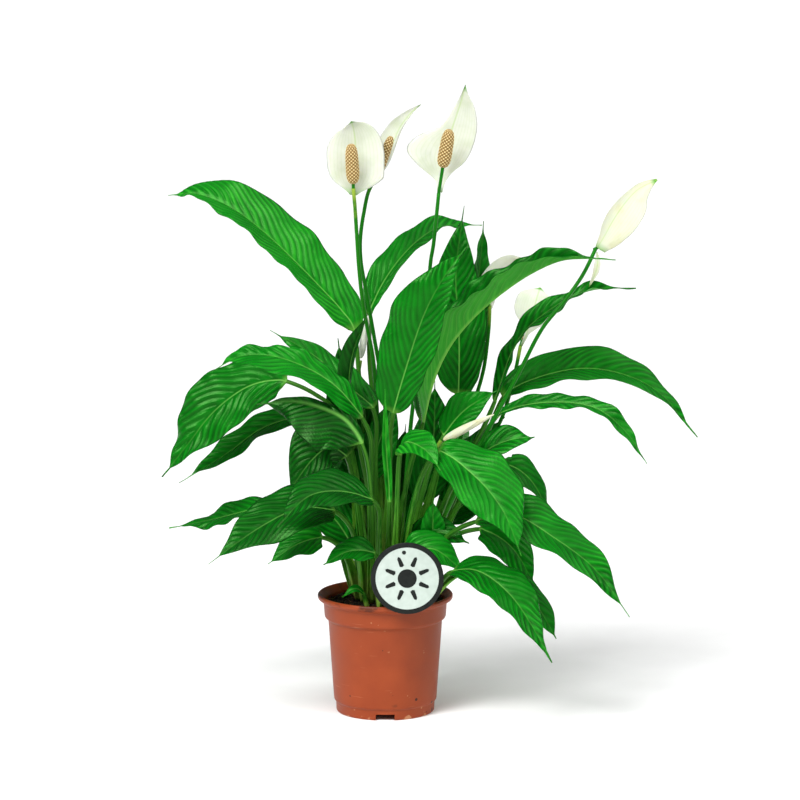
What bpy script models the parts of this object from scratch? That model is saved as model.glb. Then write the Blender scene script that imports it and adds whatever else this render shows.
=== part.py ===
"""A potted peace lily: a 13 cm nursery pot with soil, a round plant tag, leaves on stems, and white flowers.

Lengths in the tables are millimetres and become metres where a shape is made. The origin is on the pot's axis,
in the plane that it stands on. +Z is up, and the tag faces -Y.
"""

import math
from collections import namedtuple

import bmesh
import bpy
from mathutils import Matrix, Vector
from mathutils.geometry import interpolate_bezier

MM = 0.001
GAP = 0.3  # between pieces that touch

# Pot
POT_HEIGHT = 115.0
POT_RIM_RADIUS = 65.0
POT_WALL = 1.6
POT_FOOT_RADIUS = 47.2
POT_FLOOR_TOP = 8.0
POT_FLOOR_UNDER = 6.0
POT_BOSS_RADIUS = 8.0
POT_STEPS = 48
NOTCH_WIDTH = 18.0
NOTCH_HEIGHT = 6.0
NOTCHES = 3
DRAIN_RADIUS = 4.0
DRAIN_CIRCLE = 32.0
DRAINS = 6

# Soil
SOIL_EDGE = 106.0
SOIL_CROWN = 109.0
SOIL_RADIUS = 57.2
STEM_START = 1.4  # a stem starts this far above the soil, so that a slanting foot clears it

# Round tag, upright in front of the rim
TAG_CENTRE = (21.0, -67.4, 143.5)
TAG_RADIUS = 34.5
TAG_THICKNESS = 2.0
TAG_HOLE_RADIUS = 2.0
TAG_HOLE_OFFSET = (-3.0, 25.0)
CLIP_WIDTH = 12.0
CLIP_THICKNESS = 1.0
CLIP_SIDE = -1.0  # the strip thickens away from the disc
CLIP_BACK = -66.1  # the strip's face against the disc, with the gap
CLIP_ROUTE = [  # (y, z): up the back of the disc, over the rim and down into the soil's edge
    (CLIP_BACK, 150.0),
    (CLIP_BACK, 120.0),
    (CLIP_BACK + 2.5, 116.6),
    (-54.0, 116.6),
    (-52.0, 115.0),
    (-51.0, 108.9),
]

# Leaves and spathes
STEM_STATIONS = 5
BLADE_STATIONS = 10
STEM_RADIUS = 2.4
SHEATH_SWELL = 0.75  # how much thicker a long stem is where its sheath is widest
LONG_STEM = 170.0
BLADE_THICKNESS = 1.5
LEAST_HALF = 1.2
SPATHE_STATIONS = 8
SPATHE_FIRST = 0.35  # the first ring stands this share of a station above the spathe's base
SPATHE_THICKNESS = 1.2
STALK_RADIUS = 1.9
FLOWER_STALK_POINTS = 10
BUD_STALK_POINTS = 8
CURVE_STEPS = 32  # fine steps between two points of a route

# Each leaf: its foot on the soil (x, y); the points that its stem and midrib pass through, from low to tip; how
# many of those points belong to the stem; the widths of the blade's left and right halves, seen from its foot
# with the upper face up; the way that the upper face looks; how far each half rises from flat, in degrees.
Leaf = namedtuple("Leaf", "foot route stem_points halves face rise")
LEAVES = {
    # tall leaves at the back left
    "leaf_01": Leaf((-8, 24), [(-16, 29, 235), (-24, 41, 298), (-30, 50, 362), (-70, 64, 410), (-135, 90, 467),
                               (-180, 108, 487), (-212, 120, 485)], 3, (33, 33), (0.25, -0.75, 0.6), 12),
    "leaf_02": Leaf((2, 31), [(-7, 44, 250), (-14, 60, 314), (-15, 70, 374), (10, 86, 422), (50, 116, 453),
                              (95, 150, 452)], 3, (23, 23), (-0.3, -0.7, 0.65), 14),
    # the tall bright leaf in the middle, and the rolled new leaf before it
    "leaf_03": Leaf((0, -13), [(4, -20, 210), (5, -26, 270), (8, -31, 296), (20, -38, 340), (36, -46, 390),
                               (54, -50, 426), (76, -46, 456)], 3, (32, 29), (-0.2, -0.9, 0.35), 14),
    "leaf_04": Leaf((1, -22), [(4, -31, 210), (1, -37, 265), (0, -40, 320)], 1, (6, 6), (0, -1, 0), 30),
    # upright at the back
    "leaf_05": Leaf((20, 22), [(50, 28, 230), (64, 34, 280), (70, 37, 302), (71, 44, 360), (68, 52, 418),
                               (76, 62, 482)], 3, (27, 27), (0.05, -1, 0.1), 12),
    "leaf_06": Leaf((13, 30), [(50, 56, 219), (75, 80, 291), (84, 94, 354), (91, 106, 407), (96, 118, 460)],
                    2, (17, 17), (0.5, -0.8, 0.2), 12),
    # the long leaf that crosses to the upper right
    "leaf_07": Leaf((5, 3), [(15, 0, 195), (26, -1, 245), (36, -2, 282), (47, -4, 325), (68, -6, 365),
                             (112, -14, 409), (165, -30, 441), (216, -54, 445)], 3, (30, 26),
                    (-0.45, -0.35, 0.8), 30),
    # left side, from high to low
    "leaf_08": Leaf((-7, 6), [(-10, 10, 230), (-8, 14, 270), (-12, 18, 292), (-37, 27, 313), (-67, 36, 339),
                               (-111, 48, 363)], 3, (27, 24), (0.3, -0.75, 0.6), 12),
    "leaf_09": Leaf((-14, -8), [(-13, -10, 230), (-13, -13, 265), (-22, -17, 289), (-53, -22, 325),
                                (-100, -20, 347), (-137, -12, 347), (-162, -4, 333)], 3, (27, 27),
                    (0.1, -0.55, 0.85), 14),
    "leaf_10": Leaf((-13, -20), [(-12, -31, 175), (-15, -38, 238), (-22, -40, 268), (-35, -38, 288),
                                 (-52, -34, 298), (-85, -27, 306), (-122, -18, 302)], 3, (43, 8),
                    (-0.1, -0.85, 0.5), 8),
    "leaf_11": Leaf((-23, 14), [(-34, 20, 260), (-60, 30, 297), (-95, 42, 314), (-130, 48, 309), (-165, 48, 284),
                                (-190, 46, 253), (-216, 42, 220)], 3, (29, 32), (0.1, -0.75, 0.65), 12),
    "leaf_12": Leaf((-17, 22), [(-32, 46, 229), (-58, 66, 259), (-80, 78, 272), (-120, 88, 260), (-157, 90, 233),
                                (-202, 86, 206)], 3, (17, 17), (0.0, -0.6, 0.8), 25),
    "leaf_13": Leaf((-16, 3), [(-26, 4, 195), (-32, 4, 230), (-37, 4, 247), (-54, 4, 256), (-72, 2, 242),
                               (-96, -2, 208)], 3, (28, 28), (0.0, -0.8, 0.6), 10),
    "leaf_14": Leaf((-6, -31), [(-5, -42, 190), (-6, -50, 206), (-12, -58, 217), (-42, -76, 229), (-72, -94, 227),
                                (-100, -112, 202)], 3, (24, 26), (0.1, -0.55, 0.85), 12),
    "leaf_15": Leaf((-21, -15), [(-26, -24, 165), (-36, -32, 190), (-48, -40, 203), (-82, -56, 208),
                                 (-120, -72, 192), (-166, -86, 161)], 3, (30, 28), (0.0, -0.65, 0.75), 12),
    "leaf_16": Leaf((-28, 8), [(-40, 22, 158), (-65, 40, 185), (-92, 54, 192), (-127, 66, 184), (-167, 76, 172),
                               (-212, 84, 161)], 3, (16, 16), (0.0, -0.5, 0.85), 10),
    "leaf_17": Leaf((-26, -6), [(-36, -10, 150), (-48, -12, 166), (-60, -14, 172), (-84, -18, 166),
                                (-112, -24, 148)], 3, (20, 20), (0.0, -0.6, 0.8), 10),
    "leaf_18": Leaf((-5, -40), [(-6, -46, 150), (-10, -50, 164), (-34, -60, 168), (-58, -74, 158)],
                    2, (15, 15), (0.1, -0.6, 0.8), 12),
    # small leaf that points out to the front, and the broad leaf right of it
    "leaf_19": Leaf((7, -31), [(12, -42, 230), (14, -52, 260), (20, -60, 273), (38, -76, 268), (52, -92, 252)],
                    2, (17, 17), (-0.1, -0.55, 0.85), 14),
    "leaf_20": Leaf((14, -22), [(24, -34, 195), (36, -48, 240), (50, -62, 264), (84, -84, 245), (110, -104, 216),
                                (127, -124, 177)], 3, (32, 32), (0.15, -0.7, 0.7), 12),
    # right side, from high to low
    "leaf_21": Leaf((19, 8), [(64, 12, 215), (90, 18, 264), (105, 22, 298), (126, 28, 354), (156, 30, 384),
                              (195, 30, 404), (240, 28, 407)], 3, (13, 13), (-0.45, -0.5, 0.75), 25),
    "leaf_22": Leaf((27, 16), [(66, 24, 205), (92, 36, 249), (114, 46, 298), (156, 56, 318), (206, 60, 323),
                               (260, 58, 304), (302, 48, 258)], 3, (24, 22), (-0.1, -0.6, 0.8), 22),
    "leaf_23": Leaf((28, 5), [(62, 2, 205), (84, -2, 250), (106, -8, 288), (146, -24, 304), (196, -46, 304),
                              (226, -60, 283), (246, -74, 255)], 3, (11, 11), (-0.1, -0.5, 0.85), 20),
    "leaf_24": Leaf((13, -4), [(38, -12, 225), (48, -16, 254), (56, -18, 272), (76, -21, 297), (106, -23, 316)],
                    3, (17, 17), (-0.4, -0.8, 0.4), 14),
    "leaf_25": Leaf((34, -1), [(54, -8, 200), (74, -14, 237), (88, -18, 252), (115, -22, 267), (142, -26, 272)],
                    3, (17, 17), (0.0, -0.6, 0.8), 14),
    "leaf_26": Leaf((35, 10), [(62, 14, 184), (90, 24, 223), (115, 34, 234), (140, 40, 218), (162, 44, 178)],
                    3, (16, 16), (0.1, -0.6, 0.8), 14),
    "leaf_27": Leaf((31, -19), [(52, -36, 170), (86, -55, 196), (120, -72, 206), (157, -88, 188),
                                (197, -102, 159), (229, -112, 116)], 2, (26, 24), (0.2, -0.65, 0.75), 12),
    "leaf_28": Leaf((39, -8), [(52, -18, 156), (68, -26, 176), (90, -32, 184), (120, -40, 168), (142, -46, 133)],
                    3, (21, 21), (0.1, -0.7, 0.7), 12),
    "leaf_29": Leaf((32, -30), [(52, -52, 136), (64, -66, 150), (88, -84, 154), (116, -104, 137),
                                (136, -118, 111), (156, -128, 76)], 2, (25, 24), (0.3, -0.65, 0.7), 12),
    "leaf_30": Leaf((41, -20), [(66, -38, 140), (90, -46, 148), (114, -54, 142), (142, -64, 118),
                                (162, -72, 86)], 3, (17, 17), (0.25, -0.6, 0.75), 12),
    "leaf_31": Leaf((20, -31), [(19, -41, 150), (21, -46, 161), (46, -50, 168), (75, -57, 147)],
                    2, (17, 19), (0.05, -0.7, 0.7), 12),
    "leaf_32": Leaf((23, -12), [(36, -20, 150), (44, -25, 170), (46, -34, 212)], 2, (12, 12), (0.1, -1, 0.2), 14),
    # half folded young leaf, upper left
    "leaf_33": Leaf((-9, -2), [(-14, -1, 200), (-23, 3, 250), (-30, 5, 285), (-34, 5, 310), (-31, 3, 345),
                                (-16, -3, 388)], 4, (13, 13), (-0.6, -0.75, 0.3), 40),
    # low shoot over the soil
    "leaf_34": Leaf((-17, -31), [(-21, -35, 122), (-29, -38, 127), (-41, -39, 119)],
                    1, (5, 5), (0, -0.5, 0.85), 12),
}

# Each flower: its stalk's foot and route; the spathe's midline, width, the way that its hollow side looks and how
# far it is cupped, in degrees; the spadix's two ends and its radius.
FLOWERS = {
    "front_left": {
        "foot": (-2, 20), "stalk": [(-6, 33, 248), (-12, 34, 340), (-20, 25, 383), (-25, 16, 429), (-28, 8, 480),
                                    (-30, 3, 506)],
        "spathe": [(-30, 7, 507), (-28, 12, 522), (-28, 15, 545), (-30, 12, 562), (-32, 6, 569)],
        "width": 54, "face": (0.1, -1, 0.05), "cup": 16,
        "spadix": [(-30, 2, 510), (-32, -4, 549)], "spadix_radius": 6.2,
    },
    "back_left": {
        "foot": (6, 23), "stalk": [(4, 42, 248), (-12, 46, 364), (-22, 42, 422), (-24, 39, 445), (-17, 39, 495),
                                   (-8, 36, 512)],
        "spathe": [(-7, 40, 511), (2, 48, 528), (13, 52, 556), (24, 46, 572), (34, 36, 582)],
        "width": 46, "face": (-0.55, -0.55, 0.35), "cup": 30,
        "spadix": [(-7, 35, 516), (6, 24, 553)], "spadix_radius": 4.6,
    },
    "middle": {
        "foot": (11, 13), "stalk": [(26, 20, 288), (38, 20, 368), (43, 18, 431), (46, 16, 450), (51, 13, 500)],
        "spathe": [(52, 18, 501), (55, 23, 526), (63, 25, 558), (71, 21, 583), (76, 14, 603)],
        "width": 54, "face": (-0.05, -1, 0.1), "cup": 20,
        "spadix": [(51, 12, 504), (61, 2, 562)], "spadix_radius": 6.4,
    },
    "right": {
        "foot": (22, -3), "stalk": [(75, -22, 235), (103, -32, 290), (121, -35, 324), (150, -36, 380),
                                    (180, -28, 416), (199, -18, 451)],
        "spathe": [(202, -22, 453), (213, -20, 474), (226, -20, 494), (239, -22, 508), (256, -26, 517)],
        "width": 46, "face": (0.6, 0.55, -0.55), "cup": 24,
        "spadix": [(203, -14, 453), (232, -4, 470)], "spadix_radius": 4.6,
    },
    "back_right_high": {
        "foot": (28, 27), "stalk": [(60, 48, 220), (92, 58, 310), (100, 64, 362), (101, 68, 384)],
        "spathe": [(102, 73, 384), (104, 80, 396), (112, 84, 412), (124, 84, 424), (133, 82, 428)],
        "width": 40, "face": (-0.3, 0.6, 0.6), "cup": 26,
        "spadix": [(98, 79, 391), (104, 98, 414)], "spadix_radius": 4.2,
    },
    "back_right_low": {
        "foot": (38, 20), "stalk": [(72, 44, 204), (110, 60, 268), (124, 66, 311), (131, 72, 344)],
        "spathe": [(133, 70, 345), (138, 68, 360), (143, 68, 378), (147, 72, 392), (150, 78, 400)],
        "width": 40, "face": (0.1, 1, 0.1), "cup": 26,
        "spadix": [(133, 77, 348), (140, 84, 382)], "spadix_radius": 4.2,
    },
}

# Closed flowers: the spathe is still rolled round the spadix.
BUDS = {
    "left": {"foot": (-10, 31), "stalk": [(-18, 46, 250), (-27, 55, 300), (-24, 57, 332)],
             "ends": [(-24, 57, 334), (-15, 54, 379)], "radius": 3.4},
    "front": {"foot": (9, -12), "stalk": [(24, -24, 200), (38, -32, 245), (53, -38, 270)],
              "ends": [(55, -38, 271), (103, -46, 297)], "radius": 4.0},
}


def clear_scene():
    for obj in list(bpy.data.objects):
        bpy.data.objects.remove(obj, do_unlink=True)


def new_collection(name, hidden=False):
    collection = bpy.data.collections.new(name)
    collection.hide_render = hidden
    bpy.context.scene.collection.children.link(collection)
    return collection


def principled(name, colour, roughness):
    material = bpy.data.materials.new(name)
    material.use_nodes = True
    shader = material.node_tree.nodes["Principled BSDF"]
    shader.inputs["Base Color"].default_value = (*colour, 1.0)
    shader.inputs["Roughness"].default_value = roughness
    shader.inputs["Metallic"].default_value = 0.0
    material.diffuse_color = (*colour, 1.0)
    return material


def add_object(name, data, collection, material=None):
    obj = bpy.data.objects.new(name, data)
    collection.objects.link(obj)
    if material:
        data.materials.append(material)
    return obj


def metres(point):
    return Vector(point) * MM


def mesh_from_bmesh(name, work):
    bmesh.ops.recalc_face_normals(work, faces=work.faces)
    mesh = bpy.data.meshes.new(name)
    work.to_mesh(mesh)
    work.free()
    return mesh


def smooth_curve(points, count, first, last):
    """count points, evenly spaced in parameter, on a smooth curve through points from index first to last."""
    vectors = [Vector(p) for p in points]
    slopes = []
    for i in range(len(vectors)):
        low, high = max(i - 1, 0), min(i + 1, len(vectors) - 1)
        slopes.append((vectors[high] - vectors[low]) / (high - low))
    found = []
    for n in range(count):
        t = first + (last - first) * n / (count - 1)
        i = min(int(t), len(vectors) - 2)
        a, b = vectors[i], vectors[i + 1]
        reach = (b - a).length / max((slopes[i].length + slopes[i + 1].length) / 2, 1e-9)
        handle_a = a + slopes[i] * reach / 3
        handle_b = b - slopes[i + 1] * reach / 3
        fine = interpolate_bezier(a, handle_a, handle_b, b, CURVE_STEPS + 1)
        found.append(fine[round((t - i) * CURVE_STEPS)])
    return found


def loft_frames(spine, face, anchor):
    """For each point of a spine, the sideways and upward unit vectors, carried without twist from point anchor."""
    tangents = []
    for i in range(len(spine)):
        ahead = spine[min(i + 1, len(spine) - 1)]
        behind = spine[max(i - 1, 0)]
        tangents.append((ahead - behind).normalized())
    up = Vector(face)
    ups = [None] * len(spine)
    ups[anchor] = (up - tangents[anchor] * up.dot(tangents[anchor])).normalized()
    for step, stop in ((1, len(spine)), (-1, -1)):
        for i in range(anchor + step, stop, step):
            carried = ups[i - step]
            ups[i] = (carried - tangents[i] * carried.dot(tangents[i])).normalized()
    return [(tangent.cross(up), up) for tangent, up in zip(tangents, ups)]


def loft_solid(name, rings, tip):
    """One closed body through rings of equal length, flat at the first ring and pointed at the tip."""
    work = bmesh.new()
    rows = [[work.verts.new(p * MM) for p in ring] for ring in rings]
    point = work.verts.new(tip * MM)
    sides = len(rows[0])
    for low, high in zip(rows, rows[1:]):
        for k in range(sides):
            j = (k + 1) % sides
            work.faces.new((low[k], low[j], high[j], high[k]))
    for k in range(sides):
        work.faces.new((rows[-1][k], rows[-1][(k + 1) % sides], point))
    work.faces.new(rows[0])
    return mesh_from_bmesh(name, work)


def blade_outline(u):
    """Half width of a leaf blade, 0 to 1, at the share u of its length: widest near 0.4, with a drawn-out tip."""
    return math.sin(math.pi * u**0.8) ** (0.75 + 0.75 * u)


def spathe_outline(u):
    """Half width of a spathe at the share u of its length: broad and rounded below, with a short drawn-out tip."""
    return math.sin(math.pi * u**0.72) ** (0.55 + 0.9 * u)


def diamond(centre, side, up, halves, half_depth, rise):
    """Left edge, top, right edge and underside of a thin section whose halves rise by the angle rise."""
    left, right = halves
    return [
        centre - side * (left * math.cos(rise)) + up * (left * math.sin(rise)),
        centre + up * half_depth,
        centre + side * (right * math.cos(rise)) + up * (right * math.sin(rise)),
        centre - up * half_depth,
    ]


def soil_height(x, y):
    share = min(math.hypot(x, y) / SOIL_RADIUS, 1.0)
    return SOIL_EDGE + (SOIL_CROWN - SOIL_EDGE) * math.cos(share * math.pi / 2)


def foot_point(foot):
    return (foot[0], foot[1], soil_height(*foot) + STEM_START)


def leaf_mesh(name, leaf):
    points = [foot_point(leaf.foot)] + leaf.route
    stem = smooth_curve(points, STEM_STATIONS, 0, leaf.stem_points)
    blade = smooth_curve(points, BLADE_STATIONS + 1, leaf.stem_points, len(points) - 1)
    spine = stem + blade[1:]
    anchor = STEM_STATIONS + BLADE_STATIONS // 2 - 1
    frames = loft_frames(spine, leaf.face, anchor)
    frames[0] = tuple(vector.xy.to_3d().normalized() for vector in frames[1])
    swell = SHEATH_SWELL * min((stem[-1] - stem[0]).length / LONG_STEM, 1.0)
    rings = []
    for i, (centre, (side, up)) in enumerate(zip(spine[:-1], frames)):
        if i < STEM_STATIONS:
            share = i / (STEM_STATIONS - 1)
            radius = STEM_RADIUS * (1 + swell * (0.25 + 0.75 * math.sin(math.pi * share)) * (1 - share))
            rings.append(diamond(centre, side, up, (radius, radius), radius, 0.0))
            continue
        u = (i - STEM_STATIONS + 1) / BLADE_STATIONS
        halves = [max(half * blade_outline(u), LEAST_HALF) for half in leaf.halves]
        depth = STEM_RADIUS * (1 - u) ** 3 + BLADE_THICKNESS / 2
        rings.append(diamond(centre, side, up, halves, depth, math.radians(leaf.rise)))
    return loft_solid(name, rings, spine[-1])


def spathe_mesh(name, route, width, face, cup_degrees):
    spine = smooth_curve(route, SPATHE_STATIONS + 1, 0, len(route) - 1)
    frames = loft_frames(spine, face, SPATHE_STATIONS // 2)
    rings = []
    for i, (centre, (side, up)) in enumerate(zip(spine[:-1], frames)):
        u = (i + SPATHE_FIRST) / SPATHE_STATIONS
        half = width / 2 * spathe_outline(u)
        rings.append(diamond(centre, side, up, (half, half), SPATHE_THICKNESS / 2, math.radians(cup_degrees)))
    return loft_solid(name, rings, spine[-1])


def add_tube(name, points, radius, collection, material):
    """A round stalk: a poly curve with filled caps through a smooth route."""
    curve = bpy.data.curves.new(name, "CURVE")
    curve.dimensions = "3D"
    curve.bevel_depth = radius * MM
    curve.bevel_resolution = 1
    curve.use_fill_caps = True
    spline = curve.splines.new("POLY")
    spline.points.add(len(points) - 1)
    for target, point in zip(spline.points, points):
        target.co = (*metres(point), 1.0)
    return add_object(name, curve, collection, material)


def add_spindle(name, ends, radius, collection, material, rings=6, segments=8):
    """A long egg between two ends: a spadix or a closed bud."""
    low, high = Vector(ends[0]), Vector(ends[1])
    axis = high - low
    work = bmesh.new()
    bmesh.ops.create_uvsphere(work, u_segments=segments, v_segments=rings, radius=1.0)
    mesh = mesh_from_bmesh(name, work)
    stretch = Matrix.Diagonal((radius * MM, radius * MM, axis.length / 2 * MM, 1.0))
    mesh.transform(stretch)
    obj = add_object(name, mesh, collection, material)
    obj.location = metres((low + high) / 2)
    obj.rotation_mode = "QUATERNION"
    obj.rotation_quaternion = Vector((0, 0, 1)).rotation_difference(axis)
    mesh.shade_smooth()
    return obj


def turned(name, profile, steps, collection, material):
    """A turned solid from a profile of (radius, height) that runs down its outer side."""
    mesh = bpy.data.meshes.new(name)
    points = [(r * MM, 0, z * MM) for r, z in profile]
    mesh.from_pydata(points, [(i, i + 1) for i in range(len(points) - 1)], [])
    obj = add_object(name, mesh, collection, material)
    screw = obj.modifiers.new("turn", "SCREW")
    screw.axis = "Z"
    screw.angle = math.tau
    screw.steps = steps
    screw.render_steps = steps
    screw.use_merge_vertices = True
    screw.merge_threshold = 0.0001
    return obj


def cut(obj, cutter):
    modifier = obj.modifiers.new(cutter.name, "BOOLEAN")
    modifier.operation = "DIFFERENCE"
    modifier.solver = "EXACT"
    modifier.object = cutter


def hide_cutter(obj):
    obj.hide_render = True
    obj.display_type = "WIRE"


def box_cutter(name, size, centre, turn, collection):
    work = bmesh.new()
    bmesh.ops.create_cube(work, size=1.0)
    mesh = mesh_from_bmesh(name, work)
    mesh.transform(Matrix.Diagonal((size[0] * MM, size[1] * MM, size[2] * MM, 1.0)))
    obj = add_object(name, mesh, collection)
    obj.location = metres(centre)
    obj.rotation_euler.z = turn
    hide_cutter(obj)
    return obj


def round_cutter(name, radius, length, centre, collection, along=(0, 0, 1), segments=16):
    work = bmesh.new()
    bmesh.ops.create_cone(work, cap_ends=True, segments=segments, radius1=radius * MM, radius2=radius * MM,
                          depth=length * MM)
    obj = add_object(name, mesh_from_bmesh(name, work), collection)
    obj.location = metres(centre)
    obj.rotation_mode = "QUATERNION"
    obj.rotation_quaternion = Vector((0, 0, 1)).rotation_difference(Vector(along))
    hide_cutter(obj)
    return obj


def make_pot(parts, cutters):
    plastic = principled("terracotta_plastic", (0.42, 0.11, 0.045), 0.5)
    top = POT_HEIGHT
    wall = POT_WALL
    profile = [
        (0.0, POT_FLOOR_TOP),
        (46.6, POT_FLOOR_TOP),
        (48.2 - wall / 2, 12.5),
        (54.6 - wall, 89.5),
        (57.2 - wall / 2, 93.5),
        (59.4 - wall, 108.5),
        (60.8, 113.0),
        (62.4, 114.7),
        (POT_RIM_RADIUS - 1.2, top),
        (POT_RIM_RADIUS, 113.8),
        (POT_RIM_RADIUS, 111.2),
        (POT_RIM_RADIUS - 1.0, 109.9),
        (60.2, 108.0),
        (59.4, 106.5),
        (58.4, 93.2),
        (57.6, 91.8),
        (54.9, 90.0),
        (49.5, 12.4),
        (49.0, 11.0),
        (47.6, 9.8),
        (POT_FOOT_RADIUS, 0.8),
        (POT_FOOT_RADIUS - 0.6, 0.0),
        (POT_FOOT_RADIUS - 2.2, 0.0),
        (POT_FOOT_RADIUS - 2.4, POT_FLOOR_UNDER),
        (POT_BOSS_RADIUS + 0.5, POT_FLOOR_UNDER),
        (POT_BOSS_RADIUS, 0.0),
        (0.0, 0.0),
    ]
    pot = turned("pot", profile, POT_STEPS, parts, plastic)
    for n in range(NOTCHES):
        angle = -math.pi / 2 + math.tau * n / NOTCHES
        centre = (POT_FOOT_RADIUS * math.cos(angle), POT_FOOT_RADIUS * math.sin(angle), 0.0)
        size = (12.0, NOTCH_WIDTH, 2 * NOTCH_HEIGHT)
        cut(pot, box_cutter(f"notch_cutter_{n + 1}", size, centre, angle, cutters))
    for n in range(DRAINS):
        angle = math.tau * n / DRAINS
        centre = (DRAIN_CIRCLE * math.cos(angle), DRAIN_CIRCLE * math.sin(angle), POT_FLOOR_TOP)
        cut(pot, round_cutter(f"drain_cutter_{n + 1}", DRAIN_RADIUS, 10.0, centre, cutters))
    return pot


def make_soil(parts):
    peat = principled("peat", (0.02, 0.012, 0.008), 1.0)
    rings = 5
    top = []
    for n in range(rings + 1):
        r = SOIL_RADIUS * n / rings
        top.append((r, soil_height(r, 0)))
    inner_wall = [
        (56.3 - GAP, 93.9),
        (52.9 - GAP, 89.7),
        (46.9 - GAP, 13.0),
        (46.0 - GAP, POT_FLOOR_TOP + GAP),
        (0.0, POT_FLOOR_TOP + GAP),
    ]
    turned("soil", top + inner_wall, POT_STEPS, parts, peat)


def make_tag(parts, cutters):
    face = principled("white_card", (0.85, 0.88, 0.86), 0.5)
    strip = principled("green_strip", (0.02, 0.12, 0.03), 0.5)
    work = bmesh.new()
    bmesh.ops.create_cone(work, cap_ends=True, segments=40, radius1=TAG_RADIUS * MM, radius2=TAG_RADIUS * MM,
                          depth=TAG_THICKNESS * MM)
    disc = add_object("tag_disc", mesh_from_bmesh("tag_disc", work), parts, face)
    disc.location = metres(TAG_CENTRE)
    disc.rotation_euler.x = math.pi / 2
    x, y, z = TAG_CENTRE
    hole_centre = (x + TAG_HOLE_OFFSET[0], y, z + TAG_HOLE_OFFSET[1])
    hole = round_cutter("tag_hole_cutter", TAG_HOLE_RADIUS, 4 * TAG_THICKNESS, hole_centre, cutters,
                        along=(0, 1, 0), segments=12)
    cut(disc, hole)
    outline = bpy.data.meshes.new("tag_clip")
    half = CLIP_WIDTH / 2
    points = [(side * half * MM, py * MM, pz * MM) for side in (-1, 1) for py, pz in CLIP_ROUTE]
    count = len(CLIP_ROUTE)
    faces = [(i, i + 1, i + 1 + count, i + count) for i in range(count - 1)]
    outline.from_pydata(points, [], faces)
    clip = add_object("tag_clip", outline, parts, strip)
    clip.location.x = x * MM
    solid = clip.modifiers.new("thickness", "SOLIDIFY")
    solid.thickness = CLIP_THICKNESS * MM
    solid.offset = CLIP_SIDE
    solid.use_even_offset = True


def make_plant(parts):
    leaf_green = principled("leaf_green", (0.02, 0.16, 0.03), 0.4)
    spathe_white = principled("spathe_white", (0.85, 0.87, 0.74), 0.5)
    spadix_cream = principled("spadix_cream", (0.55, 0.42, 0.22), 0.7)
    stalk_green = principled("stalk_green", (0.03, 0.2, 0.03), 0.45)
    for name, leaf in LEAVES.items():
        add_object(name, leaf_mesh(name, leaf), parts, leaf_green).data.shade_smooth()
    for place, flower in FLOWERS.items():
        route = [foot_point(flower["foot"])] + flower["stalk"]
        points = smooth_curve(route, FLOWER_STALK_POINTS, 0, len(route) - 1)
        add_tube(f"flower_stalk_{place}", points, STALK_RADIUS, parts, stalk_green)
        name = f"spathe_{place}"
        mesh = spathe_mesh(name, flower["spathe"], flower["width"], flower["face"], flower["cup"])
        add_object(name, mesh, parts, spathe_white).data.shade_smooth()
        add_spindle(f"spadix_{place}", flower["spadix"], flower["spadix_radius"], parts, spadix_cream)
    for place, bud in BUDS.items():
        route = [foot_point(bud["foot"])] + bud["stalk"]
        points = smooth_curve(route, BUD_STALK_POINTS, 0, len(route) - 1)
        add_tube(f"bud_stalk_{place}", points, STALK_RADIUS, parts, stalk_green)
        add_spindle(f"bud_{place}", bud["ends"], bud["radius"], parts, spathe_white)


def main():
    clear_scene()
    parts = new_collection("peace_lily")
    cutters = new_collection("cutters", hidden=True)
    make_pot(parts, cutters)
    make_soil(parts)
    make_tag(parts, cutters)
    make_plant(parts)


main()
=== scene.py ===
# %% [markdown]
# # A potted peace lily
# This lesson dresses a finished CAD model of a potted peace lily. The CAD part gives every leaf, flower, pot and
# tag its place and size. Each cell below reads one kind of piece from it, grows the real surface round it, and
# gives it a material that is worked out from what the real thing is made of.

import math
import random

import bmesh
import bpy
import numpy as np
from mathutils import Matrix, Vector, noise


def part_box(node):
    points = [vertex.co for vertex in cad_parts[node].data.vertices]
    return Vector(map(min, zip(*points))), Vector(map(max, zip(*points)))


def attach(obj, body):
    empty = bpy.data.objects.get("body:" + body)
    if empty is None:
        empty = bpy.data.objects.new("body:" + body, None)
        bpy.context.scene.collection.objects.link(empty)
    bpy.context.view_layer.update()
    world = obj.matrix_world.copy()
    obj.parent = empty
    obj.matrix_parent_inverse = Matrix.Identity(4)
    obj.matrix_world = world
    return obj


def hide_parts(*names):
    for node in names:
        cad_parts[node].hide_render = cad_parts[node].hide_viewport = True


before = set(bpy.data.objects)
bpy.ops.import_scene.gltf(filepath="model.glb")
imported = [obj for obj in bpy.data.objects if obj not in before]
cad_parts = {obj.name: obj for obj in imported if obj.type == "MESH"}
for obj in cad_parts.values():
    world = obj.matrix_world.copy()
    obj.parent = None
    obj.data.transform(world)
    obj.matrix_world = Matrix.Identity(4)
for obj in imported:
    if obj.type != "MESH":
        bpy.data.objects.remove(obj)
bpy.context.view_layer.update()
MM = 0.001

# %% [markdown]
# ## Three small tools for materials
# Colours are picked as sRGB hex codes, as on a paint card, but a renderer adds light in linear numbers, so one
# function turns the first into the second. Another fills in a node's inputs, and the third adds any node with its
# settings and inputs, so that a material reads as a short list of steps.


# %% Colours and nodes
def colour(code):
    """The linear RGBA of an sRGB hex code."""
    channels = [int(code[i : i + 2], 16) / 255 for i in (1, 3, 5)]
    linear = [c / 12.92 if c <= 0.04045 else ((c + 0.055) / 1.055) ** 2.4 for c in channels]
    return (*linear, 1.0)


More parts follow.
